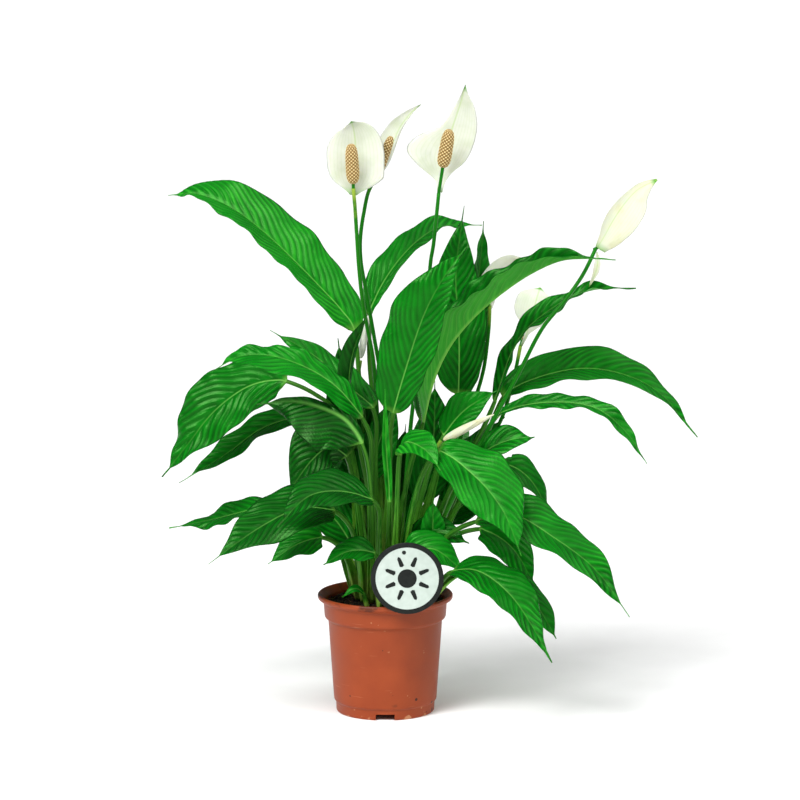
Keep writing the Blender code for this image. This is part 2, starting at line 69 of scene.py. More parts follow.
def fill(node, inputs):
    """Fills inputs with numbers, hex codes or links. A node stands for its main output."""
    for key, value in inputs.items():
        if isinstance(value, bpy.types.Node):
            value = next(output for output in value.outputs if output.enabled)
        if isinstance(value, bpy.types.NodeSocket):
            node.id_data.links.new(value, node.inputs[key])
        else:
            node.inputs[key].default_value = colour(value) if isinstance(value, str) else value


def add_node(tree, kind, inputs=None, stops=(), **settings):
    """A shader node of this kind. The stops are a colour ramp's places and colours."""
    made = tree.nodes.new("ShaderNode" + kind)
    for name, value in settings.items():
        setattr(made, name, value)
    for i, (place, code) in enumerate(stops):
        elements = made.color_ramp.elements
        stop = elements[i] if i < len(elements) else elements.new(place)
        stop.position = place
        stop.color = colour(code) if isinstance(code, str) else (code, code, code, 1.0)
    fill(made, inputs or {})
    return made


def new_material(name, roughness, ior, **more):
    """A material with its node tree, its Principled shader and a socket for places on the object."""
    material = bpy.data.materials.new(name)
    material.use_nodes = True
    tree = material.node_tree
    shader = tree.nodes["Principled BSDF"]
    fill(shader, {"Roughness": roughness, "IOR": ior})
    fill(shader, {key.replace("_", " "): value for key, value in more.items()})
    return material, tree, shader, add_node(tree, "TexCoord").outputs["Object"]


def grained_material(name, roughness, ior, scale, detail, stops, raised=None, **more):
    """A material whose colour follows one noise, which may also raise its surface by some millimetres."""
    material, tree, shader, place = new_material(name, roughness, ior, **more)
    grain = add_node(tree, "TexNoise", {"Vector": place, "Scale": scale, "Detail": detail})
    fill(shader, {"Base Color": add_node(tree, "ValToRGB", {"Fac": grain}, stops)})
    if raised:
        strength, height = raised
        relief = {"Height": grain, "Strength": strength, "Distance": height * MM}
        fill(shader, {"Normal": add_node(tree, "Bump", relief)})
    return material


MIX_FACTOR, MIX_A, MIX_B = 0, 6, 7  # the colour sockets of a Mix node
print("white", [round(c, 3) for c in colour("#FFFFFF")], "mid grey", round(colour("#808080")[0], 3))

# %% [markdown]
# ## One tool for meshes
# Every piece below is built as rows of points in numpy and becomes one mesh. One function hangs a mesh on the part
# and hides the CAD node that it stands for. Another stores numbers on its points, such as how far along the leaf a
# point is. The materials read those numbers, so that veins follow the leaf however it bends.


# %% Pieces
def hang(name, mesh, stands_for=()):
    """A mesh as a piece that rides on the part."""
    piece = bpy.data.objects.new(name, mesh)
    bpy.context.scene.collection.objects.link(piece)
    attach(piece, "root")
    if stands_for:
        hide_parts(*stands_for)
    return piece


def add_piece(name, points, faces, materials, stands_for=(), numbers=None, face_material=None):
    """One mesh of points in metres, as a piece. The numbers are stored on its points."""
    mesh = bpy.data.meshes.new(name)
    mesh.from_pydata(np.asarray(points).tolist(), [], faces)
    for key, values in (numbers or {}).items():
        mesh.attributes.new(key, "FLOAT", "POINT").data.foreach_set("value", np.asarray(values, np.float32).ravel())
    for material in materials:
        mesh.materials.append(material)
    if face_material is not None:
        mesh.polygons.foreach_set("material_index", face_material)
    mesh.shade_smooth()
    return hang(name, mesh, stands_for)


def loop_faces(rows, columns, capped=True):
    """Quads of a tube whose every row is a closed loop of columns points, with or without flat ends."""
    faces = []
    for i in range(rows - 1):
        for j in range(columns):
            k = (j + 1) % columns
            faces.append((i * columns + j, i * columns + k, (i + 1) * columns + k, (i + 1) * columns + j))
    if capped:
        faces.append(tuple(range(columns - 1, -1, -1)))
        faces.append(tuple((rows - 1) * columns + j for j in range(columns)))
    return faces


def skin_faces(rows, columns, top_columns):
    """Triangles of a thin skin. Both of its sides are split along the same diagonal, so neither pokes through."""
    faces = []
    for i in range(rows - 1):
        for j in range(columns):
            k = (j + 1) % columns
            a, b, c, d = i * columns + j, i * columns + k, (i + 1) * columns + k, (i + 1) * columns + j
            faces += [(a, b, c), (a, c, d)] if j < top_columns else [(a, b, d), (b, c, d)]
    faces.append(tuple(range(columns - 1, -1, -1)))
    faces.append(tuple((rows - 1) * columns + j for j in range(columns)))
    return faces


def wrapped(top, under):
    """Rows of an upper face and of an underside joined into closed loops."""
    return np.concatenate([top, under[:, -2:0:-1]], axis=1)


def set_on(line, sides, ups, flat):
    """Rows of points, given as distances sideways and upwards, set on a line."""
    return line[:, None] + sides[:, None] * flat[..., :1] + ups[:, None] * flat[..., 1:]


def skinned(line, sides, ups, grid, by_row, top_columns):
    """Points, faces and numbers of a closed skin on a line, from what was worked out for each of its halves."""
    grid = {key: np.concatenate(halves, axis=1) for key, halves in grid.items()}
    points = wrapped(*(set_on(line, sides, ups, grid[key]) for key in ("top", "under")))
    rows, columns = points.shape[:2]
    numbers = {key: wrapped(grid[key], grid[key]) for key in ("vein", "rib")}
    for key, values in by_row.items():
        numbers[key] = np.repeat(values, columns)
    return points.reshape(-1, 3), skin_faces(rows, columns, top_columns), numbers


def ringed(line, side, front, radius):
    """Rings of points round a line, at the radius given for each point."""
    angle = np.linspace(0, math.tau, radius.shape[1], endpoint=False)[None, :, None]
    side, front = (np.broadcast_to(v, line.shape)[:, None] for v in (side, front))
    ring = side * np.cos(angle) + front * np.sin(angle)
    return (line[:, None] + ring * radius[..., None]).reshape(-1, 3)


def run_along(points):
    """The distance from the first point to each point, along the line that they make."""
    return np.concatenate([[0], np.cumsum(np.linalg.norm(np.diff(points, axis=0), axis=1))])


def spline(knots, values, at):
    """A smooth curve through the values at the knots, read at other places."""
    knots, values, at = (np.asarray(x, float) for x in (knots, values, at))
    slopes = np.gradient(values, knots, axis=0)
    i = np.clip(np.searchsorted(knots, at, side="right") - 1, 0, len(knots) - 2)
    step = knots[i + 1] - knots[i]
    t = (at - knots[i]) / step
    if values.ndim > 1:
        t, step = t[:, None], step[:, None]
    keep_a, keep_b = 2 * t**3 - 3 * t**2 + 1, -2 * t**3 + 3 * t**2
    pull_a, pull_b = (t**3 - 2 * t**2 + t) * step, (t**3 - t**2) * step
    return keep_a * values[i] + pull_a * slopes[i] + keep_b * values[i + 1] + pull_b * slopes[i + 1]


def smoothstep(low, high, x):
    t = np.clip((np.asarray(x, float) - low) / (high - low), 0, 1)
    return t * t * (3 - 2 * t)


def unit(vectors):
    return vectors / np.maximum(np.linalg.norm(vectors, axis=-1, keepdims=True), 1e-12)


print("spline check", spline([0, 1, 2], [0.0, 1.0, 4.0], [0.5, 1.5]).round(3))

# %% [markdown]
# ## Floor, light and camera
# The plant stands in a white studio: a pale floor that runs far back, a dim even surround, and a big soft light
# high on the left that gives each leaf a bright and a shaded side. A sun lamp with a wide disc lights the whole
# floor evenly, as a bank of studio lamps would, and a soft box adds the long highlights on the wax. The camera is
# far away with a long lens, which keeps the pot from looking wide at the rim, and looks down by ten degrees.

# %% Studio
scene = bpy.context.scene
scene.view_settings.view_transform = "Standard"

FLOOR_SIZE = 60.0  # so that its far edge stays above the picture
bpy.ops.mesh.primitive_plane_add(size=FLOOR_SIZE, location=(0, 0, 0))
floor = bpy.context.object
floor.name = "studio_floor"
paper, tree, shader, _ = new_material("Matte white backdrop paper", 0.9, 1.5)
grain = add_node(tree, "TexNoise", {"Scale": 900.0, "Detail": 2.0})
fill(shader, {"Base Color": add_node(tree, "ValToRGB", {"Fac": grain}, [(0.3, "#F2F2F2"), (0.7, "#F6F6F6")])})
floor.data.materials.append(paper)

SURROUND = 0.22  # strength of the even light from all round
world = bpy.data.worlds.new("studio_surround")
scene.world = world
world.use_nodes = True
fill(world.node_tree.nodes["Background"], {"Color": "#FFFFFF", "Strength": SURROUND})

SOFT_BOX_AIM = (0, 0, 0.3)
for name, place, size, power in (
    ("soft_box_left", (-1.3, -1.5, 1.7), 0.7, 22.0),
    ("soft_box_right", (1.5, -1.2, 1.5), 0.5, 9.0),
):
    lamp = bpy.data.objects.new(name, bpy.data.lights.new(name, "AREA"))
    lamp.data.shape = "SQUARE"
    lamp.data.size = size
    lamp.data.energy = power
    lamp.location = place
    lamp.rotation_euler = (Vector(SOFT_BOX_AIM) - Vector(place)).to_track_quat("-Z", "Y").to_euler()
    scene.collection.objects.link(lamp)

for name, heading, power, disc in (
    ("lamp_bank_left", (0.42, 0.62, -0.9), 2.7, 30),
    ("lamp_bank_right", (-0.55, 0.45, -0.9), 1.5, 70),
):
    bank = bpy.data.objects.new(name, bpy.data.lights.new(name, "SUN"))
    bank.data.energy = power
    bank.data.angle = math.radians(disc)
    bank.rotation_euler = Vector(heading).to_track_quat("-Z", "Y").to_euler()
    scene.collection.objects.link(bank)

CAMERA_PLACE = (0.0142, -3.8925, 0.9683)
CAMERA_TILT = 80.3  # degrees from straight down
CAMERA_LENS = 186.2
camera = bpy.data.objects.new("studio_camera", bpy.data.cameras.new("studio_camera"))
camera.data.sensor_width = 36.0
camera.data.lens = CAMERA_LENS
camera.data.clip_end = 50.0
camera.location = CAMERA_PLACE
camera.rotation_euler = (math.radians(CAMERA_TILT), 0.0, 0.0)
scene.collection.objects.link(camera)
scene.camera = camera
print("camera", tuple(round(v, 3) for v in camera.location), "lens", camera.data.lens)

# %% [markdown]
# ## Reading a leaf back from the CAD part
# A CAD leaf is a chain of four-point sections that ends in a tip point. Walking the mesh outwards from the tip
# gives the sections one by one. In each, the two far points are the margins and the other two are the upper face
# and the underside, so the midrib, the width and the way that the leaf faces are all there.


# %% Sections of a lofted node
def joined_points(node):
    """The node's points with doubles joined, and each one's neighbours."""
    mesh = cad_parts[node].data
    points = np.round(np.array([v.co for v in mesh.vertices]), 6)
    points, index = np.unique(points, axis=0, return_inverse=True)
    index = index.reshape(-1)
    near = [set() for _ in points]
    for face in mesh.polygons:
        corners = [int(index[v]) for v in face.vertices]
        for a, b in zip(corners, corners[1:] + corners[:1]):
            near[a].add(b)
            near[b].add(a)
    return points, near


def sections_of(node, start):
    """The four-point sections from the foot of a lofted node to its tip, and the tip."""
    points, near = joined_points(node)
    order = np.argsort(-np.linalg.norm(points - np.array(start), axis=1))
    for tip in (int(i) for i in order):
        seen, layer, found = {tip}, {tip}, []
        while layer:
            layer = set().union(*(near[i] for i in layer)) - seen
            if layer and len(layer) != 4:
                break
            seen |= layer
            found.append(sorted(layer))
        if len(seen) == len(points):
            return [points[i] for i in reversed([f for f in found if f])], points[tip]
    raise ValueError(f"{node} isn't a chain of four-point sections")


def read_loft(node, start):
    """Centre line, upward directions and the two half widths of a lofted node, and how far its halves rise."""
    sections, tip = sections_of(node, start)
    spread = [max(np.linalg.norm(a - b) for a in s for b in s) for s in sections]
    widest = int(np.argmax(spread))
    section = sections[widest]
    pairs = [(np.linalg.norm(section[a] - section[b]), a, b) for a in range(4) for b in range(a + 1, 4)]
    _, a, b = max(pairs)
    c, d = (i for i in range(4) if i not in (a, b))
    middle = (section[c] + section[d]) / 2
    up = unit(section[c] - section[d])
    if np.dot((section[a] + section[b]) / 2 - middle, up) < 0:
        up = -up
    means = [s.mean(axis=0) for s in sections] + [tip]
    side = unit(np.cross(means[widest + 1] - means[max(widest - 1, 0)], up))
    count = len(sections)
    lofted = {"centre": [None] * count, "up": [None] * count, "half": [None] * count, "rise": [None] * count}
    for steps in (range(widest, count), range(widest - 1, -1, -1)):
        now_side, now_up = (side, up) if steps.start == widest else (first_side, first_up)
        for i in steps:
            local = sections[i] - sections[i].mean(axis=0)
            left, right = int(np.argmin(local @ now_side)), int(np.argmax(local @ now_side))
            rest = sorted((k for k in range(4) if k not in (left, right)), key=lambda k: local[k] @ now_up)
            under, top = sections[i][rest[0]], sections[i][rest[1]]
            centre = (top + under) / 2
            now_up = unit(top - under)
            along = means[i + 1] - means[max(i - 1, 0)]
            now_side = unit(np.cross(along, now_up))
            if i == widest:
                first_side, first_up = now_side, now_up
            reach = sections[i][left] - centre
            lofted["centre"][i] = centre
            lofted["up"][i] = now_up
            lofted["half"][i] = (np.linalg.norm(reach), np.linalg.norm(sections[i][right] - centre))
            lofted["rise"][i] = math.atan2(reach @ now_up, -reach @ now_side)
    lofted = {key: np.array(values) for key, values in lofted.items()}
    lofted["centre"] = np.vstack([lofted["centre"], tip])
    lofted["up"] = np.vstack([lofted["up"], lofted["up"][-1]])
    return lofted


SOIL_MIDDLE = (0.0, 0.0, 0.108)
leaf_nodes = sorted(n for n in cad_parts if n.startswith("leaf_"))
lofts = {node: read_loft(node, SOIL_MIDDLE) for node in leaf_nodes}
for node in leaf_nodes[:3]:
    print(node, "half widths mm", (lofts[node]["half"].max(axis=0) / MM).round(1))

# %% [markdown]
# ## Leaf surface
# A peace lily leaf is a broad lance shape with a long drip tip. A channel runs over the midrib, side veins leave
# it about every ten millimetres and sweep forwards to the margin, and the skin bulges between them, which is what
# makes the leaf look pleated. The margin waves a little. Below the blade is a smooth stalk, and the lower part of the
# stalk is a flat sheath that hugs the younger leaves.
#
# The whole leaf is one closed skin: every row of points is a loop round the leaf, thin and wide in the blade and
# round in the stalk, so the two run into each other without a seam.

# %% Leaf form
COLUMNS = 28  # points from midrib to margin
STALK_ROWS = 44
BLADE_STEPS = 10  # the blade's part of the CAD chain
ROW_STEP = 1.5 * MM
VEIN_STEP = 11.5 * MM
VEIN_SLANT, VEIN_SWEEP = 1.25, 1.0  # how far a side vein runs forwards on its way out, at first and at the margin
BLADE_HALF_THICKNESS = 0.3 * MM
CHANNEL_DEPTH = 0.5 * MM
CHANNEL_HALF = 1.3 * MM
STALK_HALF = 2.3 * MM
SHEATH_HALF = 3.1 * MM
DRIP_TIP = 0.07  # share of the blade that is the thin tip
TOP_SKIN, UNDER_SKIN, STALK_SKIN = 0, 1, 2  # the order of a leaf's materials


def blade_width(u):
    """Half width of a leaf, 0 to 1, at the share u of its length."""
    u = np.clip(u, 0, 1)
    body = np.clip(u / (1 - DRIP_TIP), 0, 1)
    tail = 0.1 * np.sqrt(1 - u) * smoothstep(0.0, 0.1, u)
    return np.sin(np.pi * body**0.82).clip(0, 1) ** (0.5 + 0.4 * body) + tail


def fine_frames(centres, ups):
    """Unit side and up vectors along a fine centre line."""
    along = unit(np.gradient(centres, axis=0))
    ups = unit(ups - along * (ups * along).sum(axis=1, keepdims=True))
    return np.cross(along, ups), ups


def leaf_piece(name, loft, look, seed, materials, stands_for):
    """The whole leaf: stalk, sheath and blade."""
    chance = random.Random(seed)
    stem = len(loft["centre"]) - BLADE_STEPS - 1
    knots = np.arange(-stem, BLADE_STEPS + 1, dtype=float)
    stem_run, blade_run = (run_along(part)[-1] for part in (loft["centre"][: stem + 1], loft["centre"][stem:]))
    rows = max(int(blade_run / ROW_STEP), 30)
    ease = np.linspace(0, 1, rows)
    blade_at = BLADE_STEPS * (ease * 0.985 + 0.015 * ease**3)
    at = np.concatenate([np.linspace(-stem, 0, STALK_ROWS, endpoint=False), blade_at])
    centres = spline(knots, loft["centre"], at)
    run = run_along(centres)
    sides, ups = fine_frames(centres, spline(knots, loft["up"], at))
    u = np.clip(at / BLADE_STEPS, 0, 1)
    along_blade = run - run[STALK_ROWS]
    share_up_stem = np.clip(run / stem_run, 0, 1)

    inner = np.arange(1, BLADE_STEPS)
    full = blade_width(inner / BLADE_STEPS).max()
    widths = [look["widen"][k] * loft["half"][stem + inner, k].max() / full for k in (0, 1)]
    rise = spline(knots[stem + 1 : -1], loft["rise"][stem + 1 :], np.clip(at, knots[stem + 1], knots[-2]))
    rise = rise[:, None] + np.radians(look["fold"])[None, :] * smoothstep(0.02, 0.25, u)[:, None]
    waves = [(chance.uniform(24, 46) * MM, chance.uniform(0, math.tau)) for _ in range(6)]
    shaft = STALK_HALF * (1 - 0.12 * share_up_stem) * (1 - 0.86 * u**0.7)
    sheath_ends = smoothstep(0.0, 0.08, share_up_stem) * (1 - smoothstep(0.30, look["sheath_end"], share_up_stem))
    sheath = SHEATH_HALF * look["sheath"] * sheath_ends
    stalk_width = (shaft + sheath)[:, None]
    across = np.linspace(-1, 1, 2 * COLUMNS + 1)
    grid = {key: [] for key in ("top", "under", "vein", "rib")}
    for k, sign in ((0, -1), (1, 1)):
        # Each half has its own width, pleats and waves. The share of the way out is 0 at the midrib.
        keep = across <= 0 if sign < 0 else across > 0
        raw = np.abs(across[keep])[None, :]
        share = raw**1.5
        ragged = 0.025 * np.sin(run / waves[2 + k][0] * 5 + waves[2 + k][1])
        ragged = ragged + 0.03 * np.sin(run / waves[4 + k][0] * 2 + waves[4 + k][1])
        half = (widths[k] * blade_width(u) * (1 + ragged))[:, None]
        wide = np.sqrt((half * share) ** 2 + (stalk_width * np.sin(np.pi * raw / 2)) ** 2)
        lag = VEIN_SLANT * wide + VEIN_SWEEP * wide**2 / (half + 6 * MM)
        vein = (along_blade[:, None] - lag) / VEIN_STEP / look["vein"] + (0.5 if sign > 0 else 0.0)
        vein = vein + 0.25 * np.sin(along_blade[:, None] / (17 * MM) + waves[k][1])
        vein = vein + 0.12 * np.sin((along_blade[:, None] + 0.5 * wide) / (7 * MM) + waves[2 + k][1])
        fade = smoothstep(1.5 * MM, 6 * MM, wide) * (1 - 0.85 * share**4)
        fade = fade * smoothstep(0.0, 0.07, u)[:, None] * (1 - smoothstep(0.86, 0.97, u))[:, None]
        puff = (np.sin(np.pi * vein) ** 2 + 0.03) ** 0.4 + 0.3 * np.sin(np.pi * (2 * vein + 0.3)) ** 2 - 0.85
        lean = np.sin(rise[:, k : k + 1])
        arch = half * (lean * (1.35 * share - 0.35 * share**3)) - look["droop"] * half * share**2.6
        turns = math.tau * along_blade
        ruffle = np.sin(turns / (2.2 * waves[k][0]) + waves[k][1]) + 0.55 * np.sin(turns / waves[4 + k][0])
        ruffle = (look["ruffle"] * MM * ruffle)[:, None] * share**1.7 * smoothstep(0.05, 0.3, u)[:, None]
        ruffle = ruffle * (1 - 0.7 * smoothstep(0.8, 1.0, u))[:, None]
        height = arch + ruffle + look["pleat"] * MM * puff * fade
        # The stalk is round with two wings, and it flattens into the blade over the first steps.
        inside = np.sqrt(np.clip(1 - (wide / np.maximum(shaft[:, None], 1e-5)) ** 2, 0, 1))
        winged = np.sqrt(np.clip(1 - raw**6, 0, 1))
        wing = (0.55 * MM + 0.25 * sheath)[:, None] * winged * (1 - smoothstep(0.0, 0.04, u))[:, None]
        in_blade = smoothstep(-0.6, 0.6, at)[:, None]
        wing = wing * (1 - in_blade)
        shell = BLADE_HALF_THICKNESS * winged * in_blade
        channel = CHANNEL_DEPTH * np.exp(-((wide / CHANNEL_HALF) ** 2)) * (1 - u)[:, None] * in_blade
        round_top = shaft[:, None] * inside * (0.85 - 0.85 * in_blade)
        hollow = 0.9 * sheath[:, None] * np.exp(-((wide / (0.6 * stalk_width)) ** 2))
        curl = 0.55 * sheath[:, None] * raw**2
        top = height + shell + round_top - channel + wing - hollow + curl
        keel = shaft[:, None] * inside * (0.95 - 0.15 * in_blade)
        under = height - shell - keel - wing + curl * 0.9
        edge = raw >= 0.999
        middle = (top + under) / 2
        top = np.where(edge, middle, np.maximum(top, under + 0.1 * MM))
        under = np.where(edge, middle, under)
        out = sign * wide * np.cos(rise[:, k : k + 1]) ** smoothstep(0.0, 0.1, u)[:, None]
        for key, values in (("top", np.stack([out, top], axis=2)), ("under", np.stack([out, under], axis=2))):
            grid[key].append(values)
        grid["vein"].append(vein)
        grid["rib"].append(wide / MM / look["rib"])
    by_row = {"along": along_blade / blade_run, "up_stem": run / stem_run, "tone": np.full(len(at), look["tone"])}
    points, faces, numbers = skinned(centres, sides, ups, grid, by_row, 2 * COLUMNS)
    side = 4 * COLUMNS  # triangles on the upper face of each row, and as many below
    kinds = [STALK_SKIN] * (2 * side * STALK_ROWS) + ([TOP_SKIN] * side + [UNDER_SKIN] * side) * (rows - 1)
    kinds += [STALK_SKIN, UNDER_SKIN]  # the flat ends at the foot and at the tip
    return add_piece(name, points, faces, materials, stands_for, numbers, kinds)


print("rows in a 200 mm blade", int(0.2 / ROW_STEP), "points round each", 4 * COLUMNS)

# %% [markdown]
# ## Leaf materials
# A living leaf has a waxy skin, so it is glossy on top with a soft, slightly broken highlight, and duller and
# paler below, where the pores are. The chlorophyll green is deep in old leaves and yellower in young ones. The
# veins carry less of it, so below they show as lighter lines, the midrib most of all. On the upper face the midrib
# is lighter, the side and fine veins lie in grooves and are painted dark as painted shade, and the ridges between
# them carry painted light and shade. An IOR of 1.45 is about that of plant wax. Only part of the light that falls
# on wax over rough cells comes back as shine, and some of that has been through the skin first, so the specular
# level is low and its tint green.


# %% Waxy leaf skin
WAX_IOR = 1.45


def leaf_material(name, ramp, vein_and_groove_shade_code, rib_code, roughness, vein_share, rib_width):
    """A leaf face that reads how old the leaf is and where its veins run."""
    material, tree, shader, place = new_material(
        name, roughness, WAX_IOR, Specular_IOR_Level=0.4, Specular_Tint="#8FDC7C"
    )
    age, vein, rib, along = (
        add_node(tree, "Attribute", attribute_name=key).outputs["Fac"] for key in ("tone", "vein", "rib", "along")
    )
    # Clouds of deeper and lighter green, about 20 mm across.
    clouds = add_node(tree, "TexNoise", {"Vector": place, "Scale": 50.0, "Detail": 3.0})
    shift = add_node(tree, "Math", {0: clouds, 1: 0.4, 2: -0.2}, operation="MULTIPLY_ADD")
    patchy = add_node(tree, "Math", {0: age, 1: shift}, operation="ADD")
    # The distance to the nearest side vein, 0 on it and 0.5 half way to the next.
    gap = add_node(tree, "Math", {0: vein, 1: 0.5}, operation="PINGPONG")
    # Painted light and shade of the pleats: the ridges between the veins are painted lighter and the veins darker,
    # more so in patches some 40 mm across.
    painted_pleat_shading = add_node(tree, "Math", {0: gap, 1: 0.8, 2: -0.2}, operation="MULTIPLY_ADD")
    spread = add_node(tree, "TexNoise", {"Vector": place, "Scale": 26.0, "Detail": 2.0})
    depth = add_node(tree, "MapRange", {0: spread, 1: 0.38, 2: 0.66, 3: 0.2, 4: 1.0})
    shade = add_node(tree, "Math", {0: painted_pleat_shading, 1: depth, 2: patchy}, operation="MULTIPLY_ADD")
    paint = add_node(tree, "ValToRGB", {"Fac": shade}, ramp)
    on_side_vein = add_node(tree, "MapRange", {0: gap, 1: 0.0, 2: 0.11, 3: vein_share, 4: 0.0})
    # Finer veins run between the side veins, one every 2.3 mm.
    fine = add_node(tree, "Math", {0: vein, 1: 5.0}, operation="MULTIPLY")
    fine_gap = add_node(tree, "Math", {0: fine, 1: 0.5}, operation="PINGPONG")
    on_fine_vein = add_node(tree, "MapRange", {0: fine_gap, 1: 0.0, 2: 0.5, 3: vein_share * 0.3, 4: 0.0})
    on_vein = add_node(tree, "Math", {0: on_side_vein, 1: on_fine_vein}, operation="MAXIMUM")
    near_rib = add_node(tree, "MapRange", {0: rib, 1: 0.2, 2: rib_width, 3: 0.8, 4: 0.0})
    rib_fade = add_node(tree, "MapRange", {0: along, 1: 0.0, 2: 0.75, 3: 1.0, 4: 0.12})
    on_rib = add_node(tree, "Math", {0: near_rib, 1: rib_fade}, operation="MULTIPLY")
    near_stalk = add_node(tree, "MapRange", {0: along, 1: 0.0, 2: 0.035, 3: 0.7, 4: 0.0})
    # On the upper face the vein colour is painted shade in the sunken veins; on the underside it is the veins' own
    # paler green.
    for factor, code in ((on_vein, vein_and_groove_shade_code), (on_rib, rib_code), (near_stalk, "#5E9436")):
        paint = add_node(tree, "Mix", {MIX_FACTOR: factor, MIX_A: paint, MIX_B: code}, data_type="RGBA")
    # The wax is thinner on the veins, which breaks up the shine.
    dull = add_node(tree, "Math", {0: on_vein, 1: 0.2, 2: roughness}, operation="MULTIPLY_ADD")
    patch = add_node(tree, "Math", {0: clouds, 1: 0.12, 2: dull}, operation="MULTIPLY_ADD")
    # Skin cells are some 0.05 mm wide; drawn at 0.7 mm, the least that shows.
    cells = add_node(tree, "TexNoise", {"Vector": place, "Scale": 1400.0, "Detail": 2.0})
    relief = add_node(tree, "Math", {0: on_vein, 1: -1.2, 2: cells}, operation="MULTIPLY_ADD")
    bump = add_node(tree, "Bump", {"Height": relief, "Strength": 0.45, "Distance": 0.3 * MM})
    fill(shader, {"Base Color": paint, "Roughness": patch, "Normal": bump})
    return material


# The upper face's near-black vein colour is painted shade in the sunken side and fine veins.
leaf_top = leaf_material(
    "Waxy leaf skin, upper face",
    [(0.0, "#011F03"), (0.3, "#024C08"), (0.6, "#087512"), (0.85, "#289A1E"), (1.0, "#62C038")],
    "#013806", "#6DB04E", 0.17, 0.4, 1.0,
)
leaf_under = leaf_material(
    "Leaf skin, pale underside",
    [(0.0, "#0F6414"), (0.4, "#278A20"), (0.8, "#56AB30"), (1.0, "#8FCB50")],
    "#6FB844", "#8FC85A", 0.45, 0.35, 2.4,
)

# %% [markdown]
# The stalk is fleshy and ribbed along its length, pale where it comes out of the soil and greener towards the
# blade.

# %% Fleshy stalk
stalk_skin, tree, shader, place = new_material(
    "Fleshy leaf stalk, ribbed", 0.38, WAX_IOR, Specular_IOR_Level=0.35, Specular_Tint="#B5DC8A"
)
up_stem, rib, age = (
    add_node(tree, "Attribute", attribute_name=key).outputs["Fac"] for key in ("up_stem", "rib", "tone")
)
clouds = add_node(tree, "TexNoise", {"Vector": place, "Scale": 70.0, "Detail": 3.0})
lift = add_node(tree, "Math", {0: clouds, 1: 0.3, 2: -0.15}, operation="MULTIPLY_ADD")
# A low leaf tone darkens the stalk too, which paints shade on the stalks of the leaves deep in the clump.
aged = add_node(tree, "Math", {0: age, 1: -0.45, 2: lift}, operation="MULTIPLY_ADD")
shade = add_node(tree, "Math", {0: up_stem, 1: aged}, operation="ADD")
stalk_ramp = [(0.0, "#86A844"), (0.14, "#478A1E"), (0.4, "#145C0C"), (1.0, "#074406")]
green = add_node(tree, "ValToRGB", {"Fac": shade}, stalk_ramp)
# Ribs of 0.8 mm along the stalk.
ribs = add_node(tree, "Math", {0: rib, 1: 7.8}, operation="MULTIPLY")
wave = add_node(tree, "Math", {0: ribs}, operation="SINE")
streak = add_node(tree, "MapRange", {0: wave, 1: -1.0, 2: 1.0, 3: 0.0, 4: 0.26})
streaked = add_node(tree, "Mix", {MIX_FACTOR: streak, MIX_A: green, MIX_B: "#6FB040"}, data_type="RGBA")
bump = add_node(tree, "Bump", {"Height": wave, "Strength": 0.3, "Distance": 0.1 * MM})
fill(shader, {"Base Color": streaked, "Normal": bump})
print("leaf materials", leaf_top.name, "|", leaf_under.name, "|", stalk_skin.name)

# %% [markdown]
# ## The leaves
# No two leaves are alike. The table gives each one what sets it apart: how old and so how light it is, how deep
# its pleats are, how much its margin waves and how much it droops over at the sides. A leaf that lies in the shade
# of another is given a darker tone, as painted shade.

# %% Grow the leaves
EVEN_LOOK = {
    "tone": 0.45,
    "pleat": 1.2,
    "ruffle": 2.5,
    "droop": 0.05,
    "sheath": 1.0,
    "sheath_end": 0.8,
    "vein": 1.0,
    "rib": 1.0,
    "fold": (0, 0),
    "widen": (1.0, 1.0),
}
LEAF_LOOKS = {
    "leaf_01": {"tone": 0.58, "fold": (22, 0), "pleat": 1.8, "widen": (0.78, 1.0)},
    "leaf_02": {"tone": 0.52, "pleat": 1.6, "widen": (0.85, 0.42)},
    "leaf_03": {"tone": 0.46, "pleat": 1.9, "droop": 0.1, "widen": (1.0, 0.82)},
    "leaf_04": {"tone": 0.66, "pleat": 0.2, "ruffle": 0.3, "vein": 2.0, "widen": (0.75, 0.75)},
    "leaf_05": {"tone": 0.36},
    "leaf_06": {"tone": 0.36, "ruffle": 3.2},
    "leaf_07": {"tone": 0.35, "droop": 0.0, "fold": (20, 32), "widen": (0.92, 1.3), "vein": 1.35},
    "leaf_08": {"widen": (0.72, 0.72)},
    "leaf_09": {"tone": 0.54, "pleat": 2.0, "vein": 1.1, "ruffle": 3.0, "widen": (1.0, 0.6)},
    # leaf_10's very dark tone is painted shade: it lies in the shade of the leaf above it.
    "leaf_10": {"tone": 0.14, "rib": 2.6, "ruffle": 3.0},
    "leaf_11": {"tone": 0.44, "ruffle": 4.2, "pleat": 2.3, "vein": 1.2},
    "leaf_13": {"tone": 0.2, "widen": (1.25, 1.25)},
    "leaf_14": {"tone": 0.24},
    "leaf_15": {"tone": 0.26},
    "leaf_16": {"tone": 0.42, "ruffle": 3.2},
    "leaf_17": {"tone": 0.55, "pleat": 1.5},
    "leaf_19": {"tone": 0.6, "pleat": 1.8, "ruffle": 3.0},
    "leaf_20": {"tone": 0.52, "pleat": 1.6, "ruffle": 3.2},
    "leaf_21": {"ruffle": 3.4},
    "leaf_24": {"ruffle": 3.2},
    "leaf_31": {"tone": 0.56, "widen": (1.2, 1.25)},
    "leaf_32": {"tone": 0.55},
    "leaf_33": {"tone": 0.15, "ruffle": 0.5, "pleat": 0.4},
    "leaf_34": {"tone": 0.6, "sheath": 0.2, "ruffle": 0.4, "pleat": 0.3},
}
leaf_skins = [leaf_top, leaf_under, stalk_skin]
for number, node in enumerate(leaf_nodes):
    look = {**EVEN_LOOK, **LEAF_LOOKS.get(node, {})}
    if lofts[node]["half"].max() < 16 * MM:
        look["sheath"] = min(look["sheath"], 0.6)
    leaf_piece(f"{node}_blade", lofts[node], look, number + 1, leaf_skins, (node,))
print("leaves", len(leaf_nodes))
